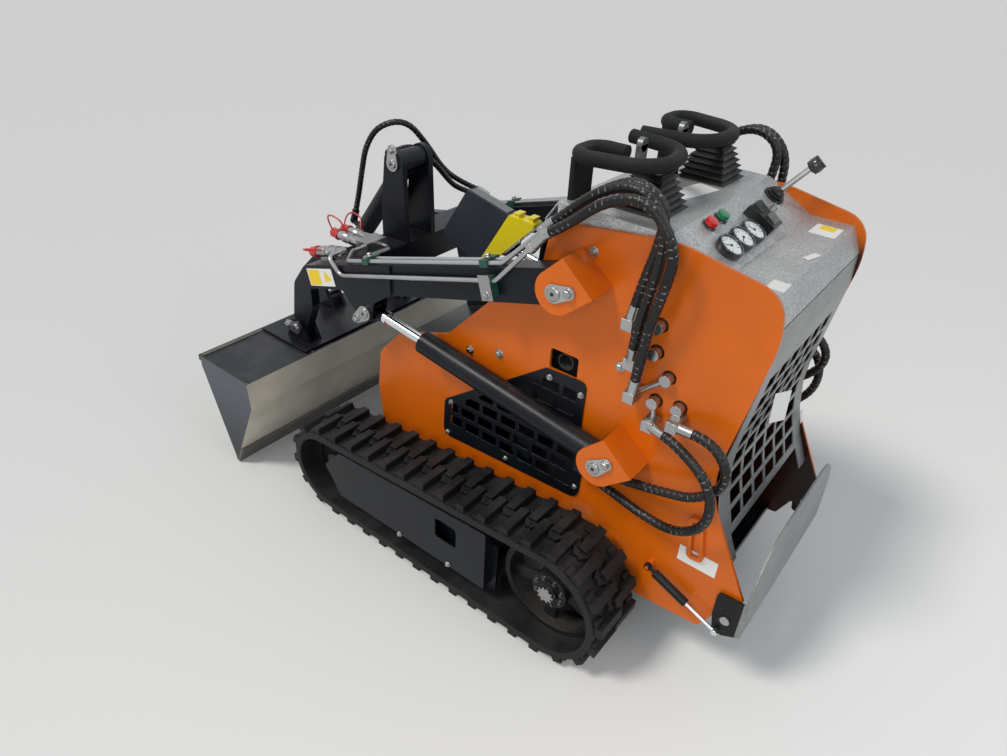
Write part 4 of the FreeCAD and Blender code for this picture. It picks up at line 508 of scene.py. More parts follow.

# %% [markdown]
# ## Dressing the solids
# Every solid names a finish in its record, and a few are given one of their own instead: the side
# plates, the bucket with its edge, the platform, the top deck and the lift rods. One loop then lays
# the right finish on each.

# %% A finish for every solid
# The orange's inner faces below the tray are laid near-black brown: painted shade.
shell = wash(finish_of("orange_shell_painted_shade", **ORANGE), painted_shade_inside, (0.03, 0.008, 0.004))
# The bucket's base colour is a dark navy.
scoop = finish_of("bucket_navy", (0.0055, 0.0085, 0.0160), 0.38, dust=0.12, gloss=0.35, wear=0.6,
                  wear_colour=(0.20, 0.20, 0.19), mottle=0.2)
# Its rearward faces turn pale khaki: partly dust, partly a painted light, for they look down and back into
# shade.
wash(scoop, rear_dust_and_painted_light, (0.66, 0.62, 0.53))
# Its end plates grow lighter towards the top: a painted light.
wash(scoop, end_plates_painted_light, (0.075, 0.085, 0.105))
step = finish_of("hammered_step", (0.33, 0.335, 0.34), 0.46, metal=0.45, dust=0.3, wear=0.5, wear_metal=0.3,
                 wear_colour=(0.03, 0.03, 0.03), ripple=0.8, ripple_scale=210.0, grain=0.6)
wash(step, pivot_ear, (0.008, 0.009, 0.01))
# The deck's pale edge colour is partly wear and partly a painted highlight along its bends.
deck = finish_of("galvanised_deck", (0.56, 0.57, 0.575), 0.36, metal=0.5, dust=0.18, wear=0.35,
                 wear_metal=0.6, wear_colour=(0.80, 0.80, 0.80), ripple=0.5, ripple_scale=200.0,
                 bevel=0.0022, grain=0.6)
rod = wash(finish_of("lift_rod", **CHROME), rod_eye, (0.012, 0.014, 0.018))
edge = finish_of("edge_steel", (0.15, 0.145, 0.135), 0.5, metal=0.4, wear=0.6)
special = {"side_plate_left": shell, "side_plate_right": shell, "lift_rod_left": rod, "lift_rod_right": rod,
           "bucket": scoop, "cutting_edge": edge, "platform": step, "console": deck}
slots = {row["node"]: row["material_slot"] for row in frame["record"]["subparts"]}
for name, one in nodes.items():
    one.data.materials.clear()
    one.data.materials.append(special.get(name, finishes[slots[name]]))
print("finished", len(nodes), "nodes,", len(special), "with a finish of their own")

# %% [markdown]
# ## A small lathe
# Bolts, caps, knobs and gauge rims are bodies of revolution. Blender's Screw modifier could turn them,
# but a short function that joins rings of points is quicker for dozens of small ones, and needs
# only a profile of radius and height. The side and up directions come from the axis alone.

# %% Axes, rings and the lathe
def axes_for(axis):
    ahead = Vector(axis).normalized()
    side = Vector((0.0, 0.0, 1.0)).cross(ahead)
    if side.length < 0.01:
        side = Vector((0.0, 1.0, 0.0))
    side.normalize()
    return Matrix((side, ahead.cross(side), ahead)).transposed()


def lathe(bm, place, axis, profile, sides=28):
    """Turned solid from rows of radius and height."""
    axes = axes_for(axis)
    rings = []
    for radius, height in profile:
        ring = []
        for i in range(sides):
            a = 2 * math.pi * i / sides
            spot = Vector((radius * math.cos(a), radius * math.sin(a), height))
            ring.append(bm.verts.new(Vector(place) + axes @ spot))
        rings.append(ring)
    close(bm, rings)


def close(bm, rings):
    """Skin from ring to ring, with a cap at both ends."""
    count = len(rings[0])
    for low, high in zip(rings, rings[1:]):
        for i in range(count):
            j = (i + 1) % count
            bm.faces.new((low[i], low[j], high[j], high[i]))
    bm.faces.new(list(reversed(rings[0])))
    bm.faces.new(rings[-1])


print("lathe ready")

# %% [markdown]
# ## Blocks and swept tubes
# A block serves as a bar, a plate or a label. A tube follows a path: at each point the ring is turned
# as little as possible from the last one, so it doesn't twist. Its radius may change on the way,
# which a curve object with a fixed bevel can't do along its length and round its section at once.

# %% Block and sweep
def block(bm, place, size, axes=Matrix.Identity(3)):
    corners = []
    for z in (-0.5, 0.5):
        for x, y in ((-0.5, -0.5), (0.5, -0.5), (0.5, 0.5), (-0.5, 0.5)):
            spot = Vector((x * size[0], y * size[1], z * size[2]))
            corners.append(bm.verts.new(Vector(place) + axes @ spot))
    close(bm, [corners[:4], corners[4:]])


def sweep(bm, points, radius, sides=12):
    """Round section along a path. radius is a number, or a function of the length run and the angle."""
    points = [Vector(p) for p in points]
    across = axes_for(points[1] - points[0]).col[0].copy()
    run = 0.0
    rings = []
    for i, point in enumerate(points):
        ahead = (points[min(i + 1, len(points) - 1)] - points[max(i - 1, 0)]).normalized()
        across = (across - ahead * across.dot(ahead)).normalized()
        up = ahead.cross(across)
        if i > 0:
            run += (point - points[i - 1]).length
        ring = []
        for k in range(sides):
            a = 2 * math.pi * k / sides
            r = radius(run, a) if callable(radius) else radius
            ring.append(bm.verts.new(point + across * (r * math.cos(a)) + up * (r * math.sin(a))))
        rings.append(ring)
    close(bm, rings)


print("block and sweep ready")

# %% [markdown]
# ## From a mesh to a piece
# Each piece of trim is one mesh with one finish, tied to the moving body that it sits on, so it goes
# along when a joint turns. A hexagon bolt is two turnings: a flat washer and a head with six sides.

# %% A piece and a bolt
def piece(name, bm, finish, body=None, angle=35.0):
    """A mesh with its finish, on its body. Edges sharper than the angle stay sharp."""
    mesh = bpy.data.meshes.new(name)
    bm.to_mesh(mesh)
    bm.free()
    mesh.materials.append(finish)
    mesh.polygons.foreach_set("use_smooth", [True] * len(mesh.polygons))
    mesh.set_sharp_from_angle(angle=math.radians(angle))
    one = bpy.data.objects.new(name, mesh)
    bpy.context.scene.collection.objects.link(one)
    if body:
        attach(one, body)
    return one


def hex_bolt(bm, place, axis, across=0.017, height=0.008, washer=0.013):
    ahead = Vector(axis).normalized()
    lathe(bm, place, axis, [(washer, -0.001), (washer, 0.0014), (washer * 0.94, 0.002)])
    r = across / math.sqrt(3)
    lathe(bm, Vector(place) + ahead * 0.0018, axis, [(r, 0.0), (r, height - 0.001), (r * 0.88, height)], 6)


print("pieces ready")

# %% [markdown]
# ## The line of a hose
# Each hose follows a curve whose control points are the corners of the route in the construction
# model. A path of straight pieces with rounded corners would kink, while a curve bends evenly as
# rubber does. It is turned into points at an even distance, for the wrap needs a steady pitch.

# %% From a route to even points
def curve_points(name, route):
    line = bpy.data.curves.new(name, "CURVE")
    line.dimensions = "3D"
    line.resolution_u = 24
    spline = line.splines.new("NURBS")
    spline.points.add(len(route) - 1)
    for spot, target in zip(spline.points, route):
        spot.co = (target[0] / 1000, target[1] / 1000, target[2] / 1000, 1.0)
    spline.order_u = 3
    spline.use_endpoint_u = True
    holder = bpy.data.objects.new(name, line)
    bpy.context.scene.collection.objects.link(holder)
    mesh = bpy.data.meshes.new_from_object(holder)
    found = [v.co.copy() for v in mesh.vertices]
    bpy.data.objects.remove(holder)
    bpy.data.curves.remove(line)
    bpy.data.meshes.remove(mesh)
    return found


def even_points(points, step):
    out = [points[0]]
    left = step
    for a, b in zip(points, points[1:]):
        size = (b - a).length
        at = left
        while at < size:
            out.append(a.lerp(b, at / size))
            at += step
        left = at - size
    if (out[-1] - points[-1]).length < step * 0.4:
        out.pop()
    out.append(points[-1])
    return out


print("hose lines ready")

# %% [markdown]
# ## The wrapped hose
# A plastic band is wound round the rubber to guard it. So the radius swells and dips once per turn, and
# in patches of the groove of the band, where light would catch it, the faces take a paler second finish
# as a painted highlight.

# %% One wrapped hose
WRAP_PITCH = 0.0155
WRAP_POINT = 0.0022
WRAP_END = 0.004
HIGHLIT_GROOVE = 0.23
HOSE_SIDES = 14


def wrap_turn(run, angle):
    """Zero in the groove between two turns of the band, and one on its crown."""
    return abs(math.sin(math.pi * run / WRAP_PITCH - angle / 2))


def hose(name, route, radius, bodies, start, end, node):
    path = even_points(curve_points(name, route), WRAP_POINT)
    runs = [0.0]
    for a, b in zip(path, path[1:]):
        runs.append(runs[-1] + (b - a).length)
    length = runs[-1]

    def wrapped(run, angle):
        if run < WRAP_END or run > length - WRAP_END:
            return radius * 0.97
        return radius * (0.87 + 0.15 * min(1.0, wrap_turn(run, angle) * 1.6) ** 0.6)

    bm = bmesh.new()
    sweep(bm, path, wrapped, HOSE_SIDES)
    one = piece(name, bm, trim["hose"], None, 60.0)
    one.data.materials.append(trim["hose_edge"])
    for i in range(len(path) - 1):
        for k in range(HOSE_SIDES):
            run, angle = (runs[i] + runs[i + 1]) / 2, 2 * math.pi * (k + 0.5) / HOSE_SIDES
            # Paler faces in patches of the groove are a painted highlight.
            highlight_patch = math.sin(run * 61.0) + math.sin(run * 23.0 + k * 1.9) > 0.75
            if wrap_turn(run, angle) < HIGHLIT_GROOVE and highlight_patch:
                one.data.polygons[i * HOSE_SIDES + k].material_index = 1
    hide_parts(node)
    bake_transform(one)
    return length


print("one turn of the band every", WRAP_PITCH, "m")

# %% [markdown]
# ## Where the hoses run
# Three hoses arch from the arm over the deck to the ports of the side plate, two loop back from the
# ports to the lift cylinder, and two feed the tilt cylinder. The routes are in millimetres. The right
# side is the left one flipped, without the outer hose.

# %% The routes
HOSE_R, TILT_HOSE_R = 0.011, 0.009
TOP_OUTER = [(-316, 349, 1107), (-358, 347, 1137), (-428, 344, 1200), (-518, 343, 1230), (-594, 343, 1151),
             (-580, 336, 1056), (-556, 325, 963), (-546, 313, 870), (-540, 310, 822)]
TOP_MIDDLE = [(-307, 322, 1122), (-339, 321, 1152), (-398, 319, 1206), (-481, 317, 1240), (-549, 317, 1190),
              (-555, 318, 1099), (-540, 317, 1021), (-528, 316, 945), (-521, 304, 893)]
TOP_INNER = [(-305, 292, 1118), (-336, 293, 1151), (-394, 292, 1203), (-470, 292, 1241), (-538, 292, 1205),
             (-533, 292, 1120), (-514, 292, 1045), (-504, 292, 984)]
LOOP_LONG = [(-633, 320, 723), (-684, 336, 723), (-771, 351, 672), (-782, 350, 570), (-714, 332, 491),
             (-616, 316, 478), (-519, 306, 492), (-470, 305, 500)]
LOOP_SHORT = [(-693, 315, 755), (-748, 318, 758), (-797, 323, 686), (-738, 320, 600), (-652, 316, 571),
              (-563, 311, 547), (-520, 309, 537)]
TILT_LONG = [(692, 0, 796), (674, 0, 850), (650, 0, 940), (630, -4, 1020), (580, -16, 1090), (505, -60, 1112),
             (482, -125, 1030), (484, -190, 948), (482, -268, 886), (438, -316, 856)]
TILT_SHORT = [(500, -8, 1030), (506, -84, 1040), (446, -128, 975), (450, -190, 910), (464, -250, 868),
              (432, -285, 851)]


def flipped(route):
    return [(x, -y, z) for x, y, z in route]


arch = (("loader_arms", "chassis"), (-0.34, 0.0, 1.14), (-0.55, 0.0, 1.08), "arm_hoses")
over_tower = (("tilt_barrel", "loader_arms"), (0.62, -0.02, 1.0), (0.49, -0.20, 0.92), "tilt_hoses")
hoses = [("arm_hose_left_outer", TOP_OUTER, HOSE_R, *arch)]
for side, turn in (("left", list), ("right", flipped)):
    to_barrel = ("chassis", "lift_barrel_" + side)
    hoses += [
        ("arm_hose_" + side + "_middle", turn(TOP_MIDDLE), HOSE_R, *arch),
        ("arm_hose_" + side + "_inner", turn(TOP_INNER), HOSE_R, *arch),
        ("lift_hose_" + side + "_long", turn(LOOP_LONG), HOSE_R, to_barrel,
         (-0.76, 0.0, 0.60), (-0.48, 0.0, 0.50), "lift_hoses"),
        ("lift_hose_" + side + "_short", turn(LOOP_SHORT), HOSE_R, to_barrel,
         (-0.76, 0.0, 0.66), (-0.53, 0.0, 0.54), "lift_hoses"),
    ]
hoses.append(("tilt_hose_long", TILT_LONG, TILT_HOSE_R, *over_tower))
hoses.append(("tilt_hose_short", TILT_SHORT, TILT_HOSE_R, *over_tower))
for row in hoses:
    print(row[0], round(hose(*row), 3), "m")

# %% [markdown]
# ## Places on the leaning panel
# The panel leans, so its pieces are placed by how far down the slope they sit, as a share, and how
# far they stand off it. That keeps the numbers simple: y, share and height. A closed hoop serves as
# the rim of a gauge and as the ring of a key.

# %% Panel axes and a hoop
PANEL_TOP = Vector((-0.540, 0.0, 1.140))
PANEL_LOW = Vector((-0.658, 0.0, 1.074))
slope = (PANEL_LOW - PANEL_TOP).normalized()
panel_up = Vector((slope.z, 0.0, -slope.x))
panel_axes = Matrix((slope, Vector((0.0, 1.0, 0.0)), panel_up)).transposed()


def on_panel(y, share, height=0.0):
    spot = PANEL_TOP.lerp(PANEL_LOW, share) + panel_up * height
    return Vector((spot.x, y, spot.z))


def hoop(bm, place, axis, section, sides=40):
    """Ring with a closed section of radius and height."""
    axes = axes_for(axis)
    rings = []
    for i in range(sides):
        a = 2 * math.pi * i / sides
        rings.append([bm.verts.new(Vector(place) + axes @ Vector((r * math.cos(a), r * math.sin(a), h)))
                      for r, h in section])
    count = len(section)
    for i in range(sides):
        here, following = rings[i], rings[(i + 1) % sides]
        for k in range(count):
            m = (k + 1) % count
            bm.faces.new((here[k], following[k], following[m], here[m]))


print("panel", round((PANEL_LOW - PANEL_TOP).length, 3), "m down the slope")

# %% [markdown]
# ## The three gauges
# Each dial is a pale disc in a black rim, with a ring of plain marks and a pointer. A picture of a dial
# would be quicker, but small raised marks stay sharp from near by. Nothing on it is written.

# %% Rims, dials and pointers
GAUGES = ((0.149, 150), (0.088, 205), (0.030, 120))     # place across the panel, pointer's angle
GAUGE_RIM = [(0.0295, 0.0), (0.0305, 0.003), (0.0305, 0.014), (0.029, 0.0175), (0.026, 0.0178),
             (0.0245, 0.0150), (0.0245, 0.0)]
MARK_REACH = 0.0215     # outer end of a mark, from the dial's middle


def dial_way(degrees):
    """Direction on the dial at an angle, and the axes of a bar that lies along it."""
    a = math.radians(degrees)
    out = axes_for(panel_up) @ Vector((math.cos(a), math.sin(a), 0.0))
    return out, Matrix((out, panel_up.cross(out), panel_up)).transposed()


rims, dials, marks = bmesh.new(), bmesh.new(), bmesh.new()
for y, pointer in GAUGES:
    foot = on_panel(y, 0.66)
    hoop(rims, foot, panel_up, GAUGE_RIM)
    lathe(dials, foot, panel_up, [(0.0246, 0.0125), (0.0246, 0.0146)], 36)
    for i in range(11):
        out, turn = dial_way(-40 + 26 * i)
        long = 0.005 if i % 5 else 0.008
        block(marks, foot + out * (MARK_REACH - long / 2) + panel_up * 0.0148, (long, 0.0010, 0.0004), turn)
    out, turn = dial_way(pointer)
    block(marks, foot + out * 0.007 + panel_up * 0.0152, (0.022, 0.0014, 0.0006), turn)
    lathe(marks, foot, panel_up, [(0.003, 0.0146), (0.003, 0.0162)], 16)
piece("gauge_rims", rims, trim["bezel"], "chassis")
piece("gauge_dials", dials, trim["dial"], "chassis")
piece("gauge_marks", marks, trim["needle"], "chassis")
print(len(GAUGES), "gauges")

# %% [markdown]
# ## Buttons and rockers
# A red and a green button stand in black collars above the gauges. Beside them are two rocker
# switches, tipped a little with three grip ribs each. All are drawn by the lathe and the block.

# %% Buttons and rocker switches
BUTTONS = (("stop_button", 0.129, "red"), ("start_button", 0.072, "go"))
BUTTON_HEAD = [(0.0118, 0.004), (0.0140, 0.006), (0.0145, 0.012), (0.0130, 0.0165), (0.0090, 0.0180)]
for name, y, finish in BUTTONS:
    bm = bmesh.new()
    lathe(bm, on_panel(y, 0.18), panel_up, BUTTON_HEAD, 32)
    piece(name, bm, trim[finish], "chassis")
bm = bmesh.new()
for _, y, _ in BUTTONS:
    lathe(bm, on_panel(y, 0.18), panel_up, [(0.0165, -0.001), (0.0165, 0.002), (0.0150, 0.0035)], 32)
piece("button_collars", bm, trim["bezel"], "chassis")

ROCKER_Y = -0.042
tilted = panel_axes @ Matrix.Rotation(math.radians(9.0), 3, "Y")
bm = bmesh.new()
for share in (0.43, 0.70):
    block(bm, on_panel(ROCKER_Y, share, 0.0275), (0.026, 0.034, 0.007), tilted)
    for k in (-1, 0, 1):
        block(bm, on_panel(ROCKER_Y, share, 0.0310) + slope * (0.005 * k), (0.0016, 0.030, 0.0016), tilted)
piece("rocker_switches", bm, trim["bezel"], "chassis")
print("buttons and rockers placed")

# %% [markdown]
# ## The small lever
# A bare rod comes out of a pleated rubber boot and ends in a black knob. The boot's pleats are the
# steps of one turned profile. A bellows with real folds would look the same at this size.

# %% Boot, rod and knob
lever_foot = on_panel(-0.190, 0.35)
lever_way = Vector((-0.060, -0.028, 0.074))
BOOT_FOLDS = [(0.026, -0.001), (0.026, 0.004), (0.019, 0.007), (0.022, 0.010), (0.016, 0.013),
              (0.018, 0.016), (0.011, 0.021), (0.008, 0.026)]
KNOB_HEAD = [(0.010, 0.0), (0.0165, 0.005), (0.0185, 0.012), (0.0180, 0.022), (0.0130, 0.029),
             (0.006, 0.031)]
boot, stem, knob = bmesh.new(), bmesh.new(), bmesh.new()
lathe(boot, lever_foot, panel_up, BOOT_FOLDS, 32)
sweep(stem, [lever_foot + panel_up * 0.006 + lever_way * t for t in (0.0, 0.5, 1.0)], 0.0067, 16)
lathe(knob, lever_foot + lever_way * 0.97, lever_way, KNOB_HEAD, 32)
piece("lever_boot_round", boot, trim["hose"], "chassis")
piece("lever_stem", stem, trim["steel"], "chassis")
piece("lever_knob", knob, trim["bezel"], "chassis")
print("lever", round(lever_way.length, 3), "m long")

# %% [markdown]
# ## Pins and their locking bolts
# Each pin of the linkage is locked by a plate with one bolt. The bolt sits in the plate's small end,
# and the pin's own end shows in the large one. Both are placed from the pin's centre and the plate's
# lean, for the left side and then for the right. How far out they sit is read from the solids.

# %% Bolts on pins and plates
KEEPER_PITCH = 0.040    # from a pin's centre to the bolt that locks it
PLATE_Y = 0.270         # outer face of a side plate
ARM_PIVOT, LIFT_FOOT = (-0.342, 0.978), (-0.497, 0.580)
TOWER_PIN, LIFT_EYE, BUCKET_PIN = (0.440, 1.020), (0.284, 0.695), (0.747, 0.432)
half_y = {name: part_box(name)[1].y for name in ("pivot_pins", "arm_pins", "coupler_pins", "track_cover_left")}
pins = [
    # body, centre, lean, outer face, pin's radius, sides
    ("chassis", ARM_PIVOT, 20.0, half_y["pivot_pins"], 0.017, (1, -1)),
    ("chassis", LIFT_FOOT, 42.0, half_y["pivot_pins"], 0.015, (1, -1)),
    ("loader_arms", TOWER_PIN, 90.0, 0.070, 0.015, (1,)),
    ("loader_arms", LIFT_EYE, 220.0, half_y["arm_pins"], 0.015, (1, -1)),
    ("bucket_coupler", BUCKET_PIN, 180.0, half_y["coupler_pins"], 0.015, (1, -1)),
]
steel = {body: bmesh.new() for body in ("chassis", "loader_arms", "bucket_coupler")}
holes = {body: bmesh.new() for body in steel}
for body, (x, z), lean, y, r, sides in pins:
    for side in sides:
        out = Vector((0.0, side, 0.0))
        lathe(steel[body], (x, side * y, z), out, [(r, -0.001), (r, 0.003), (r - 0.002, 0.0045)])
        # A near-black disc in the pin's end stands for its bore: painted shade.
        lathe(holes[body], (x, side * y, z), out, [(0.0045, 0.0040), (0.0045, 0.0047)], 16)
        a = math.radians(lean)
        tail = (x - KEEPER_PITCH * math.cos(a), side * y, z + KEEPER_PITCH * math.sin(a))
        hex_bolt(steel[body], tail, out, 0.016, 0.008, 0.0115)
for x, z in ((-0.481, 0.812), (-0.139, 0.704), (-0.041, 0.676), (-0.377, 1.058)):
    for side in (1, -1):
        hex_bolt(steel["chassis"], (x, side * PLATE_Y, z), (0, side, 0), 0.014, 0.007, 0.0125)
for x, z in ((-0.151, 0.109), (0.040, 0.100)):
    for side in (1, -1):
        spot = (x, side * half_y["track_cover_left"], z)
        hex_bolt(steel["chassis"], spot, (0, side, 0), 0.011, 0.005, 0.009)
for body in steel:
    piece(body + "_bolts", steel[body], trim["steel"], body)
    piece(body + "_pin_centres", holes[body], trim["dark"], body)
print("bolts on", list(steel))

# %% [markdown]
# ## Couplers and caps
# A quick coupler is a knurled sleeve over a thinner body, and a red cap closes its mouth. Each is one
# turned profile along the coupler's own axis, so the one that leans needs no turning of its own.

# %% Sleeves and caps
couplers = [
    # mouth, way out
    (Vector((0.562, 0.157, 0.8095)), Vector((1.0, 0.0, 0.0))),
    (Vector((0.562, 0.196, 0.8095)), Vector((1.0, 0.0, 0.0))),
    (Vector((0.5352, 0.300, 0.790)), Vector((0.957, 0.0, -0.291))),
]
COUPLER_L = 0.108
NUT = [(0.0155, 0.0), (0.0155, 0.022), (0.0142, 0.024)]
SLEEVE = [(0.0145, 0.0), (0.0168, 0.002), (0.0168, 0.012), (0.0155, 0.014), (0.0155, 0.018), (0.0168, 0.020),
          (0.0168, 0.036), (0.0145, 0.039)]
CAP = [(0.0160, 0.0), (0.0175, 0.002), (0.0175, 0.008), (0.0155, 0.010), (0.0150, 0.030), (0.0120, 0.034)]
sleeves, caps = bmesh.new(), bmesh.new()
for mouth, out in couplers:
    foot = mouth - out * COUPLER_L
    lathe(sleeves, foot, out, NUT, 6)
    lathe(sleeves, foot + out * 0.030, out, SLEEVE)
    lathe(caps, mouth - out * 0.020, out, CAP)
piece("coupler_sleeves", sleeves, trim["steel"], "loader_arms")
piece("coupler_caps", caps, trim["red"], "loader_arms")
print(len(couplers), "couplers")

# %% [markdown]
# ## Straps of the caps
# A soft red strap keeps each cap with its coupler. It leaves the cap's end, bows outward and up, and
# comes back to the coupler's foot. A sine gives that bow without a curve object for each.

# %% Cap straps
STRAP_STEPS, STRAP_R = 24, 0.0024


def strap(mouth, out, away, lift):
    """Points of a thin loop from a cap's end back to the coupler's foot."""
    start = mouth + out * 0.010
    foot = mouth - out * 0.062
    points = []
    for i in range(STRAP_STEPS + 1):
        t = i / STRAP_STEPS
        rise = math.sin(math.pi * t)
        reach = math.sin(math.pi * min(1.0, t * 1.5)) if t < 0.667 else 0.0
        spot = start.lerp(foot, t) + out * (0.030 * reach)
        points.append(spot + away * (0.034 * rise) + Vector((0.0, 0.0, lift * rise)))
    return points


strap_ways = ((Vector((0, -1, 0)), 0.045), (Vector((0, 0.4, 0)), 0.060), (Vector((0, 1, 0)), 0.018))
bm = bmesh.new()
for (mouth, out), (away, lift) in zip(couplers, strap_ways):
    sweep(bm, strap(mouth, out, away, lift), STRAP_R, 8)
piece("cap_straps", bm, trim["red"], "loader_arms", 60.0)
print("straps tied")

# %% [markdown]
# ## Blank labels
# The labels are thin blank plates in the colours of the real ones. They could be part of the paint,
# but a plate that stands a fraction of a millimetre proud catches a little light at its edges. Each is
# given by its centre and the two directions in which it lies.

# %% Labels and tags
arm_along = Vector((0.957, 0.0, -0.290))
arm_up = Vector((0.290, 0.0, 0.957))
sticker = Vector((0.467, 0.3413, 0.743))
over_sticker = sticker + arm_along * 0.028 + Vector((0, 0.0004, 0))
labels = [
    # name, finish, centre, right, up, size
    ("deck_label", "white", (-0.448, 0.0, 1.1403), (0.24, 0.97, 0.0), (-0.97, 0.24, 0.0), (0.155, 0.056)),
    ("tray_label_right", "white", (-0.722, -0.176, 1.0743), (0, 1, 0), (-1, 0, 0), (0.070, 0.060)),
    ("tray_label_amber", "amber", (-0.722, -0.192, 1.0747), (0, 1, 0), (-1, 0, 0), (0.030, 0.034)),
    ("tray_label_left", "white", (-0.748, 0.190, 1.0743), (0, 1, 0), (-1, 0, 0), (0.045, 0.036)),
    ("tray_tie", "white", (-0.748, 0.000, 1.0750), (0.3, 1, 0), (-1, 0.3, 0), (0.046, 0.016)),
    ("side_label", "white", (-0.759, 0.2703, 0.383), (-1, 0, 0.0), (0, 0, 1), (0.098, 0.048)),
    ("grille_label", "white", (-0.7885, -0.238, 0.545), (0, -1, 0), (0.3, 0, 1), (0.018, 0.034)),
    ("hanging_tag", "white", (-0.790, 0.060, 0.737), (-0.5, -0.866, 0), (0.03, -0.08, 1), (0.046, 0.080)),
    ("arm_label_white", "white", sticker, -arm_along, arm_up, (0.116, 0.052)),
    ("arm_label_amber", "amber", over_sticker, -arm_along, arm_up, (0.054, 0.045)),
]
for name, finish, place, right, up, size in labels:
    right, up = Vector(right).normalized(), Vector(up).normalized()
    out = right.cross(up).normalized()
    bm = bmesh.new()
    block(bm, place, (size[0], size[1], 0.0008), Matrix((right, out.cross(right), out)).transposed())
    piece(name, bm, trim[finish], "loader_arms" if name.startswith("arm") else "chassis")
bm = bmesh.new()
lathe(bm, sticker - arm_along * 0.030, (0, 1, 0), [(0.021, 0.0), (0.021, 0.0010)], 3)
piece("arm_label_corner", bm, trim["amber"], "loader_arms")
print(len(labels) + 1, "blank labels")

# %% [markdown]
# ## Paddles, latches and clamp bolts
# Small things that sit on other trim: the thumb paddles inside the drive handles, the latches of the
# tool case, and the bolts that hold the pipe clamps to the arms. The clamps' places are given along
# the arm and over it, from the arm's pivot.

# %% Paddles, latches and clamp bolts
bm = bmesh.new()
for side in (1, -1):
    block(bm, (-0.366, side * 0.097, 1.2165), (0.0128, 0.0308, 0.0655))
    lathe(bm, (-0.3724, side * 0.097, 1.2490), (1, 0, 0), [(0.0150, 0.0), (0.0150, 0.0128)])
piece("thumb_paddles", bm, trim["paddle"], "chassis")

bm = bmesh.new()
for x in (0.020, -0.028):
    block(bm, (x, 0.0, 0.9605), (0.014, 0.026, 0.010))
    block(bm, (x, 0.0, 0.9665), (0.020, 0.030, 0.0035))
piece("case_latches", bm, trim["yellow"], "chassis")


def from_pivot(y, along, over):
    return Vector((ARM_PIVOT[0], y, ARM_PIVOT[1])) + arm_along * along + arm_up * over


bm = bmesh.new()
for along in (0.202, 0.627):
    for side in (1, -1):
        hex_bolt(bm, from_pivot(side * 0.3185, along, 0.0685), arm_up, 0.012, 0.006, 0.009)
side_axes = Matrix((arm_along, arm_up, arm_along.cross(arm_up))).transposed()
block(bm, from_pivot(0.3593, 0.192, 0.006), (0.034, 0.062, 0.002), side_axes)
hex_bolt(bm, from_pivot(0.3601, 0.192, -0.012), (0, 1, 0), 0.013, 0.007, 0.010)
piece("clamp_bolts", bm, trim["steel"], "loader_arms")
print("small plastic and clamp bolts done")

# %% [markdown]
# ## Belly tail and bucket rims
# Behind the mesh a black sheet carries the belly pan on to the ends of the side plates and hides the
# ground. The bucket stands rolled forward, so its back is a tray with a raised rim. Both are plain
# folded sheet, so blocks of its thickness are enough.

# %% Folded sheet
TAIL_W, BUCKET_W = 0.522, 1.060
TRAY_X, RIM_Z, SEAM_Z = 0.775, 0.3805, 0.3785
bm = bmesh.new()
block(bm, (-0.688, 0.0, 0.184), (0.174, TAIL_W, 0.006))
block(bm, (-0.775, 0.0, 0.192), (0.004, TAIL_W, 0.022))
piece("belly_tail", bm, finishes["black_paint"], "chassis")

bm = bmesh.new()
for side in (1, -1):
    block(bm, (TRAY_X, side * 0.527, RIM_Z), (0.252, 0.006, 0.009))
    block(bm, (TRAY_X, side * 0.262, SEAM_Z), (0.240, 0.008, 0.005))
block(bm, (0.902, 0.0, RIM_Z), (0.006, BUCKET_W, 0.009))
block(bm, (0.648, 0.0, SEAM_Z), (0.006, BUCKET_W, 0.005))
piece("bucket_rims", bm, scoop, "bucket_coupler")
print("sheet pieces done")

# %% [markdown]
# ## Hubs and guards
# The drive hubs end in a toothed nut inside a ring of bolts. One tooth or bolt is placed by its angle
# and the rest follow in a loop. The slotted guards have a small bolt near each corner.

# %% Hub nuts, hub bolts and guard bolts
HUB_X, HUB_Z = -0.458, 0.190
HUB_TEETH, HUB_BOLTS = 10, 8
TOOTH_RING, BOLT_RING = 0.0215, 0.041
HUB_NUT = [(0.019, -0.001), (0.019, 0.006), (0.013, 0.006)]
hub_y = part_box("drive_sprocket_left")[1].y
bm, bolts = bmesh.new(), bmesh.new()
for side in (1, -1):
    lathe(bm, (HUB_X, side * hub_y, HUB_Z), (0, side, 0), HUB_NUT, 30)
    for i in range(HUB_TEETH):
        turn = Matrix.Rotation(-2 * math.pi * i / HUB_TEETH, 3, "Y")
        spot = Vector((HUB_X, side * (hub_y + 0.003), HUB_Z)) + turn @ Vector((TOOTH_RING, 0, 0))
        block(bm, spot, (0.006, 0.006, 0.006), turn)
    for i in range(HUB_BOLTS):
        a = 2 * math.pi * (i + 0.5) / HUB_BOLTS
        spot = (HUB_X + BOLT_RING * math.cos(a), side * (hub_y - 0.012), HUB_Z + BOLT_RING * math.sin(a))
        hex_bolt(bolts, spot, (0, side, 0), 0.010, 0.005, 0.0075)
piece("hub_nuts", bm, trim["steel"], "chassis")
piece("hub_bolts", bolts, trim["bezel"], "chassis")

bm = bmesh.new()
for x, z in ((-0.392, 0.694), (-0.300, 0.705), (-0.406, 0.412),
             (-0.180, 0.382), (0.034, 0.366), (0.022, 0.478)):
    for side in (1, -1):
        hex_bolt(bm, (x, side * 0.274, z), (0, side, 0), 0.010, 0.005, 0.0085)
piece("guard_bolts", bm, trim["steel"], "chassis")
print("hubs and guards bolted")

# %% [markdown]
# ## The case's strip and the key
# A grey strip with a metal finish along the top edge of the tool case is a painted highlight, the
# sheen of that edge. On the panel a key stands in its lock, with a ring and a blank tag. They are
# small, but they catch light where the picture shows them.

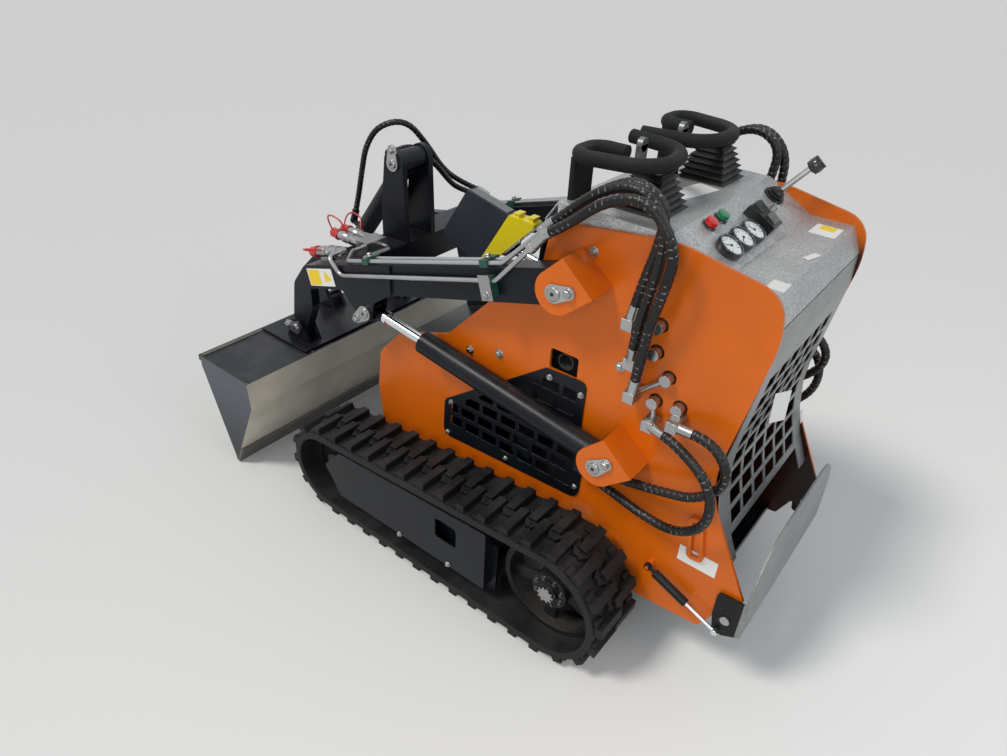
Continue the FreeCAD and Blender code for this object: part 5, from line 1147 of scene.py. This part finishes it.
# %% Strip and key
# The strip is a painted highlight: a grey bar where the tub's top edge shows a sheen.
strip_way = Vector((-0.150, 0.0, -0.034)).normalized()
strip_axes = Matrix((strip_way, Vector((0, 1, 0)), strip_way.cross(Vector((0, 1, 0))))).transposed()
bm = bmesh.new()
block(bm, (0.118, 0.0, 0.9765), (0.136, 0.030, 0.003), strip_axes)
piece("case_edge_sheen", bm, trim["paddle"], "chassis")

KEY_RING = [(0.0125, -0.0008), (0.0140, -0.0008), (0.0140, 0.0008), (0.0125, 0.0008)]
lock = on_panel(-0.100, 0.52)
bm = bmesh.new()
lathe(bm, lock, panel_up, [(0.013, -0.001), (0.013, 0.010), (0.0105, 0.013)], 24)
block(bm, lock + panel_up * 0.021, (0.002, 0.016, 0.018), panel_axes)
hoop(bm, lock + panel_up * 0.030 + slope * 0.012, slope, KEY_RING)
block(bm, lock + panel_up * 0.012 + slope * 0.030, (0.028, 0.011, 0.0016), panel_axes)
piece("start_key", bm, trim["steel"], "chassis")
print("strip and key done")

# %% [markdown]
# ## Walking round the belt
# Shoulders have to follow the belt round both of its ends. An array on a curve could carry them, but
# walking is simpler to read: along the top, round the front, back along the floor and round the
# rear. The walk gives the place and the outward angle at any distance.

# %% Places on the belt
REAR, FRONT = Vector((HUB_X, HUB_Z)), Vector((0.358, 0.160))
LUG = 0.022
LUG_PITCH = 0.072
BELT_IN, BELT_OUT = 0.305, 0.485
rear_r, front_r = REAR.y - LUG, FRONT.y - LUG
span = FRONT - REAR
top_angle = math.atan2(span.y, span.x) + math.acos((REAR.y - FRONT.y) / span.length)


def ring_spot(centre, radius, angle):
    return Vector((centre.x + radius * math.cos(angle), centre.y + radius * math.sin(angle)))


level_run = (ring_spot(FRONT, front_r, top_angle) - ring_spot(REAR, rear_r, top_angle)).length
turn_front, turn_rear = (top_angle + math.pi / 2) * front_r, (1.5 * math.pi - top_angle) * rear_r
loop_length = 2 * level_run + turn_front + turn_rear


def station(distance):
    """Place on the belt's face and its outward angle, at a distance from the rear's top."""
    distance %= loop_length
    if distance < level_run:
        a, b = ring_spot(REAR, rear_r, top_angle), ring_spot(FRONT, front_r, top_angle)
        return a.lerp(b, distance / level_run), top_angle
    distance -= level_run
    if distance < turn_front:
        angle = top_angle - distance / front_r
        return ring_spot(FRONT, front_r, angle), angle
    distance -= turn_front
    if distance < level_run:
        a, b = ring_spot(FRONT, front_r, -math.pi / 2), ring_spot(REAR, rear_r, -math.pi / 2)
        return a.lerp(b, distance / level_run), -math.pi / 2
    angle = -math.pi / 2 - (distance - level_run) / rear_r
    return ring_spot(REAR, rear_r, angle), angle


count = round(loop_length / LUG_PITCH)
print(count, "lugs in a row,", round(loop_length, 3), "m round")

# %% [markdown]
# ## Shoulders of the lugs
# The lugs are plain bars in the construction model. On the real belt each bar has a lower shoulder
# that ties it to its neighbour, which gives the tread its stepped look. Two slanted ones meet at the
# middle like an arrow, and two square ones stand at the belt's edges.

# %% Tread shoulders
SLANT = math.radians(32.0)
ARROW_HALF, EDGE_GAP, EDGE_W = 0.030, 0.006, 0.028
middle = (BELT_IN + BELT_OUT) / 2
shoulders = [
    # share of the pitch, from y, to y, lean
    (0.25, middle - ARROW_HALF, middle + ARROW_HALF, 1),
    (0.75, middle - ARROW_HALF, middle + ARROW_HALF, -1),
    (0.22, BELT_IN + EDGE_GAP, BELT_IN + EDGE_GAP + EDGE_W, 0),
    (0.72, BELT_OUT - EDGE_GAP - EDGE_W, BELT_OUT - EDGE_GAP, 0),
]
bm = bmesh.new()
for i in range(count):
    for share, y0, y1, lean in shoulders:
        spot, angle = station((i + share) * loop_length / count)
        out = Vector((math.cos(angle), 0.0, math.sin(angle)))
        ahead = Vector((math.sin(angle), 0.0, -math.cos(angle)))
        flat_axes = Matrix((ahead, Vector((0.0, 1.0, 0.0)), out)).transposed()
        centre = Vector((spot.x, (y0 + y1) / 2, spot.y)) + out * 0.004
        size = (0.017, (y1 - y0) * 1.05, 0.014) if lean else (0.030, y1 - y0, 0.012)
        for side in (1, -1):
            turn = flat_axes @ Matrix.Rotation(side * lean * SLANT, 3, "Z")
            block(bm, Vector((centre.x, side * centre.y, centre.z)), size, turn)
piece("tread_shoulders", bm, finishes["track_rubber"], "chassis")
print(2 * count * len(shoulders), "shoulders on two belts")
